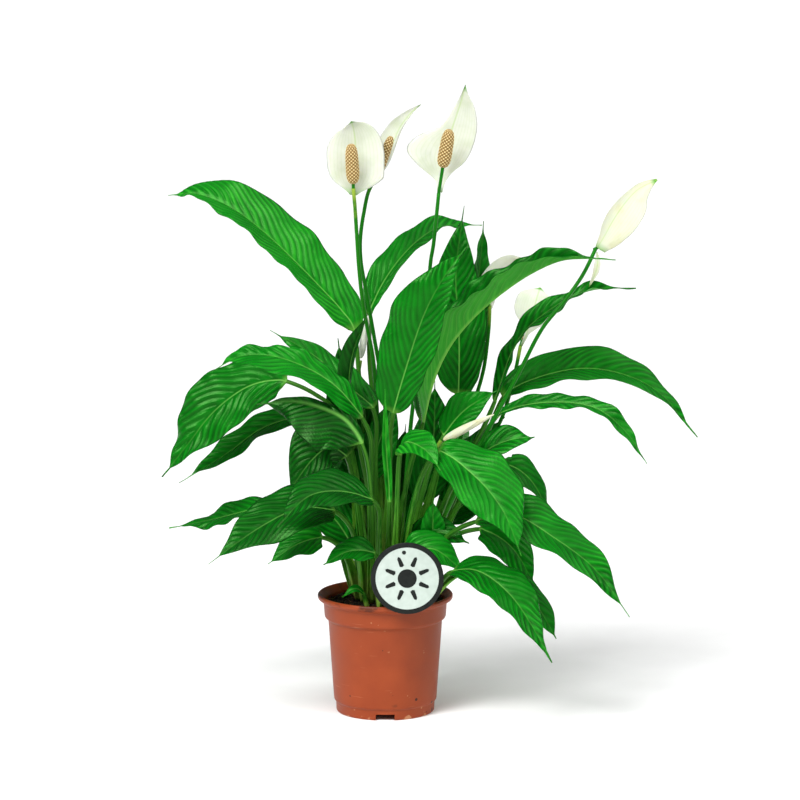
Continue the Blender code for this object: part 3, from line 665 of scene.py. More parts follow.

# %% [markdown]
# A peace lily in a pot this size has some fifty leaves. The CAD part holds the larger ones, and the small ones
# deep inside the clump are added here from their own short table, with a darker tone that is painted shade deep
# in the clump. A row holds the leaf's number, two points up its stalk from the soil and three along its midrib,
# the half width of the blade, the way that its upper face looks and the rise of its halves.

# %% Inner leaves
STALK_POINTS = 2
INNER_LEAVES = [
    (1, [(-4, 30, 109), (-14, 40, 170), (-22, 46, 222), (-38, 56, 292), (-46, 68, 352)], 21, (0.2, -1, 0.2), 14),
    (2, [(12, 30, 109), (24, 38, 150), (34, 42, 195), (46, 48, 252), (48, 60, 312)], 21, (0, -1, 0.2), 12),
    (3, [(24, 20, 109), (48, 32, 160), (60, 38, 192), (84, 48, 240), (116, 60, 276)], 19, (-0.2, -0.9, 0.5), 14),
    (4, [(12, -8, 109), (18, -16, 128), (24, -20, 148), (48, -30, 180), (80, -42, 172)], 19, (0, -0.8, 0.6), 10),
    (5, [(-18, 4, 109), (-26, 8, 140), (-34, 12, 162), (-62, 22, 192), (-98, 30, 182)], 20, (0, -0.8, 0.6), 10),
    (6, [(24, 32, 109), (40, 44, 150), (58, 56, 172), (98, 76, 198), (142, 92, 184)], 21, (0.1, -0.6, 0.8), 12),
    (7, [(-5, 38, 109), (-14, 58, 165), (-22, 76, 200), (-38, 106, 226), (-54, 136, 204)], 23, (-0.2, 0.4, 0.9), 12),
    (8, [(15, 38, 109), (28, 60, 190), (38, 74, 220), (60, 104, 250), (84, 134, 236)], 23, (0.2, 0.4, 0.9), 12),
    (9, [(4, 44, 109), (6, 58, 126), (8, 70, 145), (13, 102, 162), (16, 138, 140)], 19, (0, 0.3, 0.95), 12),
    (10, [(-12, 12, 109), (-16, 20, 180), (-18, 24, 220), (-4, 30, 262), (10, 40, 300)], 17, (0, -1, 0.1), 12),
    (12, [(6, 34, 109), (10, 42, 135), (12, 46, 160), (14, 52, 215), (20, 58, 270)], 21, (0, -1, 0.15), 10),
    (13, [(-14, 34, 109), (-20, 42, 130), (-24, 46, 150), (-28, 52, 205), (-30, 58, 262)], 22, (0.1, -1, 0.15), 10),
    (11, [(-30, 20, 109), (-44, 34, 150), (-56, 44, 172), (-84, 70, 196), (-112, 104, 180)], 21, (-0.2, 0.1, 1), 12),
]


def grown(points, half_width, face, rise):
    """The same record as read_loft gives, from one row in millimetres and degrees."""
    points = np.array(points, float) * MM
    knots = run_along(points)
    start = knots[STALK_POINTS]
    stem_at = np.linspace(0, start, 4, endpoint=False)
    at = np.concatenate([stem_at, np.linspace(start, knots[-1], BLADE_STEPS + 1)])
    half = np.zeros((len(at) - 1, 2))
    half[len(stem_at) + 1 :] = blade_width(np.arange(1, BLADE_STEPS) / BLADE_STEPS)[:, None] * half_width * MM
    return {
        "centre": spline(knots, points, at),
        "up": np.tile(unit(np.array(face, float)), (len(at), 1)),
        "half": half,
        "rise": np.full(len(at) - 1, math.radians(rise)),
    }


for order, (number, *row) in enumerate(INNER_LEAVES):
    # The darker tone of these inner leaves, and so of their stalks, is painted shade deep in the clump.
    look = {**EVEN_LOOK, "tone": 0.22 + 0.04 * (order % 5), "sheath": 0.6}
    leaf_piece(f"inner_{number:02}", grown(*row), look, 100 + order, leaf_skins, ())
print("inner leaves", len(INNER_LEAVES))

# %% [markdown]
# ## Flower stalks
# A flower stands on a smooth round stalk, firmer than a leaf stalk. The CAD tube is a chain of six-point rings,
# so gathering the points that lie close together, from the top down, gives the stalk's route back. The front
# flower's stalk is the youngest and is still yellow-green where it meets the flower.


# %% Routes of the tubes
RING_REACH = 5.0 * MM


def tube_route(node):
    """The centre points of a CAD tube, from its foot to its top."""
    points, _ = joined_points(node)
    left = list(range(len(points)))
    at = points[np.argmax(points[:, 2])]
    route = []
    while left:
        nearest = points[min(left, key=lambda i: np.linalg.norm(points[i] - at))]
        ring = [i for i in left if np.linalg.norm(points[i] - nearest) < RING_REACH]
        at = points[ring].mean(axis=0)
        route.append(at)
        left = [i for i in left if i not in ring]
    return np.array(route[::-1])


def round_tube(route, radii, rows, columns):
    """Points and faces of a round tube on a smooth curve, and how far along each point is."""
    knots = run_along(route)
    at = np.linspace(0, knots[-1], rows)
    centres = spline(knots, route, at)
    sides, ups = fine_frames(centres, np.tile(np.array([0.3, -1.0, 0.05]), (rows, 1)))
    radius = np.interp(at / knots[-1], np.linspace(0, 1, len(radii)), radii)
    points = ringed(centres, sides, ups, radius[:, None] * np.ones((1, columns)))
    return points, loop_faces(rows, columns), np.repeat(at / knots[-1], columns)


flower_stalk, tree, shader, place = new_material(
    "Smooth flower stalk, waxy", 0.34, WAX_IOR, Specular_IOR_Level=0.35, Specular_Tint="#9BDC7E"
)
up_stem, age = (add_node(tree, "Attribute", attribute_name=key).outputs["Fac"] for key in ("up_stem", "tone"))
clouds = add_node(tree, "TexNoise", {"Vector": place, "Scale": 60.0, "Detail": 3.0})
lift = add_node(tree, "Math", {0: clouds, 1: 0.2, 2: -0.1}, operation="MULTIPLY_ADD")
shade = add_node(tree, "Math", {0: up_stem, 1: lift}, operation="ADD")
dark, light = (
    add_node(tree, "ValToRGB", {"Fac": shade}, ramp)
    for ramp in (
        [(0.0, "#5E9632"), (0.3, "#12660F"), (0.8, "#0A5A0C"), (1.0, "#126A12")],
        [(0.0, "#6E9E38"), (0.35, "#12600C"), (0.94, "#166A0E"), (0.985, "#86A038")],
    )
)
skin = add_node(tree, "Mix", {MIX_FACTOR: age, MIX_A: dark, MIX_B: light}, data_type="RGBA")
speckle = add_node(tree, "TexNoise", {"Vector": place, "Scale": 1600.0, "Detail": 1.0})
bump = add_node(tree, "Bump", {"Height": speckle, "Strength": 0.2, "Distance": 0.1 * MM})
fill(shader, {"Base Color": skin, "Normal": bump})

STALK_TONES = {"front_left": 1.0, "back_left": 0.15, "middle": 0.0, "right": 0.0}
STALK_RADII = (2.3 * MM, 2.0 * MM, 1.8 * MM)  # at the foot, half way and at the top
routes = {}
for node in sorted(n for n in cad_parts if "_stalk_" in n):
    routes[node] = tube_route(node)
    points, faces, share = round_tube(routes[node], STALK_RADII, 90, 14)
    tone = STALK_TONES.get(node.replace("flower_stalk_", ""), 0.6)
    numbers = {"up_stem": share, "tone": np.full(len(points), tone)}
    add_piece(f"{node}_skin", points, faces, [flower_stalk], (node,), numbers)
    print(node, "route points", len(routes[node]))

# %% [markdown]
# ## Spathes
# The white sail behind each flower is a spathe, a leaf turned white. It is thinner and softer than a leaf, cupped
# towards the flower, with veins that run side by side from the base to a green point. Light sinks a little into
# it and comes out again, which softens its shading, so its shader has some subsurface scattering.

# %% Spathe material
spathe_skin, tree, shader, place = new_material(
    "Peace lily spathe, soft white bract", 0.5, 1.4, Specular_IOR_Level=0.25,
    Subsurface_Weight=0.5, Subsurface_Radius=(1.0, 1.0, 0.6), Subsurface_Scale=1.5 * MM,
)
along, vein, rib, age = (
    add_node(tree, "Attribute", attribute_name=key).outputs["Fac"] for key in ("along", "vein", "rib", "tone")
)
clouds = add_node(tree, "TexNoise", {"Vector": place, "Scale": 60.0, "Detail": 4.0})
white, aged = (
    add_node(tree, "ValToRGB", {"Fac": clouds}, ramp)
    for ramp in (
        [(0.3, "#BCC3B0"), (0.55, "#CACEC2"), (0.75, "#C4C9B9")],
        [(0.35, "#C8CBBA"), (0.5, "#C8C8A4"), (0.66, "#BCB478")],
    )
)
paint = add_node(tree, "Mix", {MIX_FACTOR: age, MIX_A: white, MIX_B: aged}, data_type="RGBA")
gap = add_node(tree, "Math", {0: vein, 1: 0.5}, operation="PINGPONG")
on_vein = add_node(tree, "MapRange", {0: gap, 1: 0.0, 2: 0.2, 3: 0.25, 4: 0.0})
on_rib = add_node(tree, "MapRange", {0: rib, 1: 0.3, 2: 1.2, 3: 0.55, 4: 0.0})
at_ends = add_node(tree, "ValToRGB", {"Fac": along}, [(0.0, 0.7), (0.06, 0.0), (0.91, 0.0), (0.97, 1.0)])
for factor, code in ((on_vein, "#A9B98C"), (on_rib, "#A5BF78"), (at_ends, "#569A2C")):
    paint = add_node(tree, "Mix", {MIX_FACTOR: factor, MIX_A: paint, MIX_B: code}, data_type="RGBA")
bump = add_node(tree, "Bump", {"Height": gap, "Strength": 0.35, "Distance": 0.3 * MM})
fill(shader, {"Base Color": paint, "Normal": bump})
print("spathe", spathe_skin.name)

# %% [markdown]
# Each spathe has its own outline, given as its half width on the left and on the right at even steps from base to
# tip, as a share of the half width that the CAD part gives it. The cup is how far it curves round the flower, the
# wave is the swing of its margin in millimetres, and the tone is how yellow it has turned.

# %% Spathes
ROUND_SAIL = (0.16, 0.8, 1.0, 1.06, 1.05, 0.98, 0.85, 0.66, 0.42, 0.17, 0.0)
SLIM_SAIL = (0.15, 0.5, 0.72, 0.8, 0.74, 0.6, 0.45, 0.3, 0.17, 0.08, 0.0)
HIGH_SAIL = (0.06, 0.08, 0.12, 0.4, 0.85, 1.04, 1.06, 1.0, 0.8, 0.42, 0.0)
SPATHE_LOOKS = {
    "front_left": {
        "left": (0.04, 0.86, 1.04, 1.06, 1.06, 1.0, 0.88, 0.7, 0.46, 0.2, 0.0),
        "right": (0.04, 0.88, 1.05, 1.06, 1.06, 0.99, 0.86, 0.68, 0.44, 0.18, 0.0),
        "cup": 0.45, "wave": 0.8, "tone": 0.0, "lobe": 7.0,
    },
    "back_left": {"left": SLIM_SAIL, "right": SLIM_SAIL, "cup": 1.4, "wave": 0.5, "tone": 0.0},
    "middle": {
        "left": (0.07, 0.14, 0.74, 1.46, 1.22, 0.42, 0.25, 0.17, 0.11, 0.05, 0.0),
        "right": (0.1, 0.16, 0.38, 0.76, 0.92, 0.94, 0.86, 0.68, 0.44, 0.18, 0.0),
        "cup": 0.35, "wave": 1.0, "tone": 0.0,
    },
    "right": {
        "left": (0.3, 0.7, 1.05, 1.25, 1.3, 1.2, 1.05, 0.8, 0.5, 0.2, 0.0),
        "right": (0.3, 0.6, 0.95, 1.25, 1.35, 1.25, 1.05, 0.8, 0.5, 0.22, 0.0),
        "cup": 1.2, "wave": 2.2, "tone": 0.4,
    },
    "back_right_high": {"left": ROUND_SAIL, "right": ROUND_SAIL, "cup": 1.0, "wave": 0.8, "tone": 0.1},
    "back_right_low": {"left": HIGH_SAIL, "right": HIGH_SAIL, "cup": 0.6, "wave": 0.8, "tone": 0.0},
}
SAIL_ROWS = 64
SAIL_COLUMNS = 18  # from midrib to margin
SAIL_HALF_THICKNESS = 0.28 * MM
SAIL_VEINS = 8  # on each side of the midrib


def sheet_piece(name, centres, ups, halves, cup, wave, tone, seed, stands_for=()):
    """A thin cupped sheet on a centre line, with its own half widths on the left and the right."""
    chance = random.Random(seed)
    at = np.linspace(0, 1, SAIL_ROWS)
    knots = np.linspace(0, 1, len(centres))
    line, ups = spline(knots, centres, at), spline(knots, ups, at)
    sides, ups = fine_frames(line, ups)
    phase = [chance.uniform(0, math.tau) for _ in range(4)]
    cup = max(cup, 1e-3)
    grid = {"top": [], "under": [], "vein": [], "rib": []}
    for k, sign in ((0, -1), (1, 1)):
        share = np.linspace(0, 1, SAIL_COLUMNS + 1)
        share = (share[::-1] if sign < 0 else share[1:])[None, :]
        half = np.interp(at, np.linspace(0, 1, len(halves[k])), halves[k])
        half = np.convolve(np.pad(half, 2, mode="edge"), np.ones(5) / 5, mode="valid")[:, None]
        half = half * (1 + 0.03 * np.sin(at * 9 + phase[2 + k]))[:, None]
        out = sign * half * np.sin(cup * share) / cup
        height = half * (1 - np.cos(cup * share)) / cup
        height = height + wave * MM * np.sin(at * 8 + phase[k])[:, None] * share**2
        height = height - 0.10 * half * share**5 + 0.12 * MM * np.cos(share * math.tau * SAIL_VEINS)
        shell = SAIL_HALF_THICKNESS * np.sqrt(np.clip(1 - share**8, 0, 1)) + 0 * half
        grid["top"].append(np.stack([out, height + shell], axis=2))
        grid["under"].append(np.stack([out, height - shell], axis=2))
        grid["vein"].append(share * SAIL_VEINS + 0 * half)
        grid["rib"].append(share * half / MM)
    by_row = {"along": at, "tone": np.full(len(at), tone)}
    points, faces, numbers = skinned(line, sides, ups, grid, by_row, 2 * SAIL_COLUMNS)
    return add_piece(name, points, faces, [spathe_skin], stands_for, numbers)


for seed, (place_name, look) in enumerate(SPATHE_LOOKS.items()):
    node = f"spathe_{place_name}"
    stalk_top = routes[f"flower_stalk_{place_name}"][-1]
    loft = read_loft(node, stalk_top)
    widest = loft["half"].max()
    halves = [np.array(look[side]) * widest for side in ("left", "right")]
    cup = 2 * np.median(loft["rise"]) * look["cup"]
    centres = loft["centre"].copy()
    centres[0] = 0.5 * centres[0] + 0.5 * stalk_top
    if "lobe" in look:  # its base hangs behind the stalk, this many millimetres below where it grows from
        centres[0] = stalk_top + np.array([0.0, 2.8, -look["lobe"]]) * MM
    sheet_piece(f"{node}_sail", centres, loft["up"], halves, cup, look["wave"], look["tone"], seed, (node,))
    print("spathe", place_name, "half width mm", round(widest / MM, 1), "cup", round(math.degrees(cup)))

# The flower on the right still carries the dry sheath that its bud grew out of, which hangs from the stalk.
hang_from = routes["flower_stalk_right"][-1]
bract = hang_from + np.array([(1, -2, -3), (2, -3, -9), (1, -4, -18), (-2, -4, -27), (-6, -3, -36)]) * MM
bract_ups = np.tile(np.array([-0.3, -0.95, 0.1]), (len(bract), 1))
bract_halves = [np.array([0.5, 2.2, 3.6, 3.2, 1.8, 0.3]) * MM] * 2
sheet_piece("bud_sheath", bract, bract_ups, bract_halves, 0.8, 0.8, 0.3, 31)

# %% [markdown]
# ## Spadices
# The flower itself is the spadix, a club set with tiny florets in staggered rows. Two waves that cross at an
# angle peak at the staggered places, so their product raises one bump for each floret. The bumps are cream, the
# colour turns tan down their sides and deep brown at the bottom of the gaps between them, and the material reads
# the height of the bump from the mesh. The oldest flower's has finished and turned green.

# %% Spadix
FLORET = 2.0 * MM
SPADIX_ROWS = 110
SPADIX_COLUMNS = 96
spadix_skin, tree, shader, _ = new_material("Spadix florets, matte and fleshy", 0.62, 1.4)
bumps, age = (add_node(tree, "Attribute", attribute_name=key).outputs["Fac"] for key in ("bump", "tone"))
fresh, spent = (
    add_node(tree, "ValToRGB", {"Fac": bumps}, ramp)
    for ramp in (
        [(0.0, "#4A3616"), (0.3, "#8C6C34"), (0.6, "#BCA064"), (0.95, "#D2C294")],
        [(0.0, "#2A3312"), (0.5, "#55652A"), (1.0, "#8C9450")],
    )
)
skin = add_node(tree, "Mix", {MIX_FACTOR: age, MIX_A: fresh, MIX_B: spent}, data_type="RGBA")
pollen = add_node(tree, "TexNoise", {"Scale": 2500.0, "Detail": 2.0})
bump = add_node(tree, "Bump", {"Height": pollen, "Strength": 0.3, "Distance": 0.15 * MM})
fill(shader, {"Base Color": skin, "Normal": bump})


def read_club(node, stalk_top):
    """The ends of an egg-shaped CAD node, the one by its stalk first, and its radius, axis, side and front."""
    points, _ = joined_points(node)
    spread = np.linalg.norm(points[:, None] - points[None], axis=2)
    low, high = points[list(np.unravel_index(np.argmax(spread), spread.shape))]
    if np.linalg.norm(low - stalk_top) > np.linalg.norm(high - stalk_top):
        low, high = high, low
    axis = unit(high - low)
    radius = np.linalg.norm(np.cross(points - low, axis), axis=1).max()
    side = unit(np.cross(axis, np.array([0.2, -0.9, 0.1])))
    return low, high, radius, axis, side, np.cross(axis, side)


BARE_NECK = {"middle": 0.36}  # share of the club's length that is stalk
for place_name in SPATHE_LOOKS:
    node = f"spadix_{place_name}"
    stalk_top = routes[f"flower_stalk_{place_name}"][-1]
    low, high, radius, axis, side, front = read_club(node, stalk_top)
    low = low + (high - low) * BARE_NECK.get(place_name, 0.0)
    length = np.linalg.norm(high - low)
    t = np.linspace(0, 1, SPADIX_ROWS)
    girth = (1 - np.abs(2 * t - 1) ** 4) ** 0.5 * (1.04 - 0.16 * t) * (radius - 0.35 * MM)
    turns = max(round(math.tau * radius / FLORET / 2), 5)
    a = np.arange(SPADIX_COLUMNS)[None, :] / SPADIX_COLUMNS * turns
    b = t[:, None] * length / (1.7 * FLORET)
    floret = np.abs(np.cos(math.pi * (a + b)) * np.cos(math.pi * (a - b))) ** 0.9
    swell = girth[:, None] + 0.95 * MM * floret * smoothstep(0.0, 0.5, girth / radius)[:, None]
    points = ringed(low + axis * (t * length)[:, None], side, front, swell)
    numbers = {"bump": floret, "tone": np.full(floret.shape, 1.0 if place_name == "right" else 0.0)}
    faces = loop_faces(SPADIX_ROWS, SPADIX_COLUMNS)
    add_piece(f"{node}_club", points, faces, [spadix_skin], (node,), numbers)
    neck_route = np.array([stalk_top - axis * 2 * MM, (stalk_top + low) / 2, low + axis * 3 * MM])
    points, faces, _ = round_tube(neck_route, (1.7 * MM, 1.6 * MM, 1.8 * MM), 12, 14)
    neck_tone = STALK_TONES.get(place_name, 0.4)
    numbers = {"up_stem": np.full(len(points), 0.9), "tone": np.full(len(points), neck_tone)}
    add_piece(f"{node}_neck", points, faces, [flower_stalk], (), numbers)
    print(node, "length mm", round(length / MM, 1), "florets round", 2 * turns)

# %% [markdown]
# ## Buds
# Two flowers haven't opened. Their spathes are rolled up round the spadix into a slim pointed horn, so each is a
# spindle with the edge of the roll winding up it as a low step.

# %% Buds
BUD_ROWS = 70
BUD_COLUMNS = 40
for place_name, tone in (("left", 0.0), ("front", 0.65)):
    node = f"bud_{place_name}"
    low, high, radius, axis, side, front = read_club(node, routes[f"bud_stalk_{place_name}"][-1])
    length = np.linalg.norm(high - low)
    t = np.linspace(0, 1, BUD_ROWS)
    girth = np.sin(math.pi * t**0.62) ** 0.8 * radius + 0.3 * MM
    roll = ((np.arange(BUD_COLUMNS)[None, :] / BUD_COLUMNS + 0.45 * t[:, None]) % 1.0) ** 3
    swell = girth[:, None] * (0.9 + 0.2 * roll)
    bend = front * (np.sin(math.pi * t) * 0.03 * length)[:, None]
    points = ringed(low + axis * (t * length)[:, None] + bend, side, front, swell)
    numbers = {
        "vein": roll * 5 + 0.3,
        "rib": 3 + 0 * roll,
        "along": 0.06 + 0.86 * t[:, None] + 0 * roll,
        "tone": tone + 0 * roll,
    }
    add_piece(f"{node}_roll", points, loop_faces(BUD_ROWS, BUD_COLUMNS), [spathe_skin], (node,), numbers)
    print(node, "length mm", round(length / MM, 1))

# %% [markdown]
# ## The pot
# A nursery pot is injection moulded from thin polypropylene, coloured through with a terracotta pigment. It has a
# rolled rim, a deeper collar that lets pots stack, a tapering wall and a foot ring with three notches. Its satin
# skin is slightly mottled, and it picks up specks of soil and fine scratches on its way from the grower.

# %% Pot material
pot_plastic, tree, shader, place = new_material(
    "Polypropylene, moulded terracotta", 0.42, 1.49, Specular_IOR_Level=0.25
)
mottle = add_node(tree, "TexNoise", {"Vector": place, "Scale": 35.0, "Detail": 5.0})
paint = add_node(tree, "ValToRGB", {"Fac": mottle}, [(0.25, "#863614"), (0.5, "#8E3B17"), (0.75, "#96401B")])
# Specks of dried peat, half a millimetre to two millimetres wide.
specks = add_node(tree, "TexVoronoi", {"Vector": place, "Scale": 90.0, "Randomness": 1.0})
patches = add_node(tree, "TexNoise", {"Vector": place, "Scale": 28.0, "Detail": 2.0})
limit = add_node(tree, "MapRange", {0: patches, 1: 0.52, 2: 0.75, 3: 0.0, 4: 0.24})
speck = add_node(tree, "Math", {0: specks, 1: limit}, operation="LESS_THAN")
# Scratches: noise drawn out round the pot to long thin lines.
stretch = add_node(tree, "Mapping", {"Vector": place, "Scale": (30.0, 30.0, 420.0)})
lines = add_node(tree, "TexNoise", {"Vector": stretch, "Scale": 1.0, "Detail": 2.0})
scratch = add_node(tree, "MapRange", {0: lines, 1: 0.70, 2: 0.76, 3: 0.0, 4: 0.35})
# Wet peat has been rubbed over the rim, and the foot is scuffed pale where it stood on benches.
height = add_node(tree, "SeparateXYZ", {"Vector": place}).outputs["Z"]
smears = add_node(tree, "TexNoise", {"Vector": place, "Scale": 55.0, "Detail": 6.0})
near_rim = add_node(tree, "MapRange", {0: height, 1: 0.098, 2: 0.114, 3: 0.0, 4: 0.21})
dirt = add_node(tree, "Math", {0: smears, 1: near_rim}, operation="ADD")
smear = add_node(tree, "MapRange", {0: dirt, 1: 0.70, 2: 0.78, 3: 0.0, 4: 0.75})
chips = add_node(tree, "TexNoise", {"Vector": place, "Scale": 150.0, "Detail": 4.0})
near_foot = add_node(tree, "MapRange", {0: height, 1: 0.0, 2: 0.016, 3: 0.14, 4: 0.0})
pale = add_node(tree, "Math", {0: chips, 1: near_foot}, operation="ADD")
chip = add_node(tree, "MapRange", {0: pale, 1: 0.72, 2: 0.76, 3: 0.0, 4: 0.7})
for factor, code in ((speck, "#3A1C10"), (scratch, "#C97B58"), (smear, "#32180C"), (chip, "#C08A62")):
    paint = add_node(tree, "Mix", {MIX_FACTOR: factor, MIX_A: paint, MIX_B: code}, data_type="RGBA")
dull = add_node(tree, "MapRange", {0: mottle, 1: 0.3, 2: 0.7, 3: 0.36, 4: 0.5})
grain = add_node(tree, "TexNoise", {"Vector": place, "Scale": 700.0, "Detail": 2.0})
bump = add_node(tree, "Bump", {"Height": grain, "Strength": 0.12, "Distance": 0.2 * MM})
fill(shader, {"Base Color": paint, "Roughness": dull, "Normal": bump})
print("pot", pot_plastic.name)

# %% [markdown]
# The pot is a turned shape, so it is one profile spun round its axis. Each corner of the profile is rounded
# first, as moulded plastic has no sharp edge, and the notches and drain holes are cut from the finished shell.


# %% Turn the pot
def rounded(profile, reach):
    """The profile with each corner cut to a small curve."""
    profile = [np.array(p, float) for p in profile]
    made = [profile[0]]
    for before, corner, after in zip(profile, profile[1:], profile[2:]):
        back = before - corner
        ahead = after - corner
        into = corner + back * min(reach / np.linalg.norm(back), 0.4)
        out = corner + ahead * min(reach / np.linalg.norm(ahead), 0.4)
        made += [into, (into + 2 * corner + out) / 4, out]
    return made + [profile[-1]]


def turned(profile, columns):
    """Points in metres and faces of a profile (radius, height) in millimetres, spun round Z, closed at the axis."""
    angle = np.linspace(0, math.tau, columns, endpoint=False)
    inner = profile[1:-1]
    points = [(0, 0, profile[0][1] * MM)]
    for r, z in inner:
        points += [(r * math.cos(a) * MM, r * math.sin(a) * MM, z * MM) for a in angle]
    points.append((0, 0, profile[-1][1] * MM))
    faces = []
    for j in range(columns):
        k = (j + 1) % columns
        faces.append((0, 1 + j, 1 + k))
        for i in range(len(inner) - 1):
            low, high = 1 + i * columns, 1 + (i + 1) * columns
            faces.append((low + j, high + j, high + k, low + k))
        last = 1 + (len(inner) - 1) * columns
        faces.append((last + j, len(points) - 1, last + k))
    return points, faces


def cut_with(piece, cutters):
    """Cuts helper objects from the piece's mesh. The helpers are removed."""
    for cutter in cutters:
        step = piece.modifiers.new(cutter.name, "BOOLEAN")
        step.operation, step.solver, step.object = "DIFFERENCE", "EXACT", cutter
    graph = bpy.context.evaluated_depsgraph_get()
    shaped = bpy.data.meshes.new_from_object(piece.evaluated_get(graph))
    piece.modifiers.clear()
    piece.data = shaped
    for cutter in cutters:
        bpy.data.objects.remove(cutter)
    shaped.shade_smooth()
    shaped.set_sharp_from_angle(angle=math.radians(38))


def on_circle(radius, count, start=0.0, x=0.0, y=0.0):
    """Points at even steps round a circle, and the angle of each."""
    angles = [start + math.tau * n / count for n in range(count)]
    return [(x + radius * math.cos(a), y + radius * math.sin(a), a) for a in angles]


POT_COLUMNS = 160
CORNER = 0.9  # mm, how much of each corner is rounded off
_, pot_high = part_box("pot")
POT_TOP = pot_high.z / MM
RIM = pot_high.x / MM
POT_PROFILE = [
    (0.0, 8.0), (46.6, 8.0), (47.4, 12.5), (53.0, 89.5), (56.4, 93.5), (57.8, 108.5), (60.8, 113.0),
    (62.4, POT_TOP - 0.3), (RIM - 1.2, POT_TOP), (RIM, POT_TOP - 1.2), (RIM, POT_TOP - 3.8),
    (RIM - 1.0, POT_TOP - 5.1), (60.2, 108.0), (59.4, 106.5), (58.4, 93.2), (57.6, 91.8), (54.9, 90.0),
    (49.5, 12.4), (49.0, 11.0), (47.6, 9.8), (47.2, 0.8), (46.6, 0.0), (45.0, 0.0), (44.8, 6.0), (8.5, 6.0),
    (8.0, 0.0), (0.0, 0.0),
]
NOTCHES, NOTCH_RING, NOTCH_SIZE = 3, 47.2 * MM, (12 * MM, 18 * MM, 12 * MM)
DRAINS, DRAIN_RING, DRAIN_RADIUS = 6, 32 * MM, 4 * MM
points, faces = turned(rounded(POT_PROFILE, CORNER), POT_COLUMNS)
pot = add_piece("nursery_pot", points, [f[::-1] for f in faces], [pot_plastic], ("pot",))
cutters = []
for x, y, angle in on_circle(NOTCH_RING, NOTCHES, -math.pi / 2):
    bpy.ops.mesh.primitive_cube_add(size=1.0, location=(x, y, 0.0))
    notch = bpy.context.object
    notch.scale = NOTCH_SIZE
    notch.rotation_euler.z = angle
    cutters.append(notch)
for x, y, _ in on_circle(DRAIN_RING, DRAINS):
    bpy.ops.mesh.primitive_cylinder_add(
        vertices=32, radius=DRAIN_RADIUS, depth=10 * MM, location=(x, y, 8 * MM)
    )
    cutters.append(bpy.context.object)
cut_with(pot, cutters)
print("pot height mm", round(POT_TOP, 1), "rim radius", round(RIM, 1), "faces", len(pot.data.polygons))

# %% [markdown]
# ## The soil
# Potting soil is milled peat: nearly black when moist, made of crumbs from dust to a few millimetres, with
# reddish-brown fibres and bits of bark through it. The surface is a turned mound pushed up and down by noise at
# three scales. Loose crumbs and fibres lie on it as their own small meshes.

# %% Soil
peat = grained_material(
    "Milled peat, moist", 0.95, 1.4, 420.0, 6.0,
    [(0.3, "#0E0805"), (0.5, "#21140C"), (0.68, "#3E281A"), (0.8, "#6A4A32")], (0.8, 1.2),
)
SOIL_RINGS = 70
SOIL_COLUMNS = 200
SOIL_RADIUS = 57.2
SOIL_EDGE, SOIL_CROWN = 106.0, 3.0  # mm, height at the edge and how much higher the middle is
SOIL_BELOW = [(56.0, 93.9), (52.6, 89.7), (46.6, 13.0), (45.7, 8.3), (0.0, 8.3)]  # down the inside of the pot
_, soil_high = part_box("soil")


def mound(share):
    """Height of the smooth mound at a share of the way out, in millimetres."""
    return SOIL_EDGE + SOIL_CROWN * math.cos(share * math.pi / 2)


def soil_bumps(x, y):
    """Height of the lumps at a place on the soil, in metres."""
    lumps = 1.6 * noise.noise((x * 90, y * 90, 1.0)) + 1.0 * noise.noise((x * 260, y * 260, 5.0))
    return (lumps + 0.6 * noise.noise((x * 700, y * 700, 9.0))) * MM


def soil_top(x, y):
    """Height of the soil's surface at a place, in metres."""
    share = min(math.hypot(x, y) / (SOIL_RADIUS * MM), 1.0)
    return mound(share) * MM + soil_bumps(x, y)


soil_profile = [(0.0, soil_high.z / MM)]
soil_profile += [(SOIL_RADIUS * n / SOIL_RINGS, mound(n / SOIL_RINGS)) for n in range(1, SOIL_RINGS + 1)]
soil_profile += SOIL_BELOW
points, faces = turned(soil_profile, SOIL_COLUMNS)
TOP_FROM = 105.5 * MM  # the points above this are on the surface
lumpy = [(x, y, z + soil_bumps(x, y) - 0.3 * MM if z > TOP_FROM else z) for x, y, z in points]
add_piece("potting_soil", lumpy, [f[::-1] for f in faces], [peat], ("soil",))

CRUMBS, FIBRES = 620, 90
CRUMB_REACH, FIBRE_REACH, FIBRE_LIMIT = 56.0 * MM, 54.0 * MM, 55.5 * MM
chance = random.Random(7)


def dropped_within(reach):
    """A random place on the soil, no further than this from its middle."""
    r, a = reach * math.sqrt(chance.random()), chance.uniform(0, math.tau)
    return r * math.cos(a), r * math.sin(a)


work = bmesh.new()
for n in range(CRUMBS):
    x, y = dropped_within(CRUMB_REACH)
    size = chance.choice((0.6, 0.8, 1.0, 1.4, 2.0)) * MM * chance.uniform(0.7, 1.2)
    made = bmesh.ops.create_icosphere(work, subdivisions=2, radius=size)["verts"]
    flat = chance.uniform(0.5, 0.9)
    for v in made:
        push = 1 + 0.45 * noise.noise(v.co / size * 1.3 + Vector((n, 0, 0)))
        v.co = Vector((v.co.x * push, v.co.y * push * flat, v.co.z * push * flat))
        v.co += Vector((x, y, soil_top(x, y) + 0.25 * size))
crumb_mesh = bpy.data.meshes.new("loose_crumbs")
work.to_mesh(crumb_mesh)
work.free()
crumb_mesh.shade_smooth()
crumb_mesh.materials.append(peat)
hang("soil_crumbs", crumb_mesh)

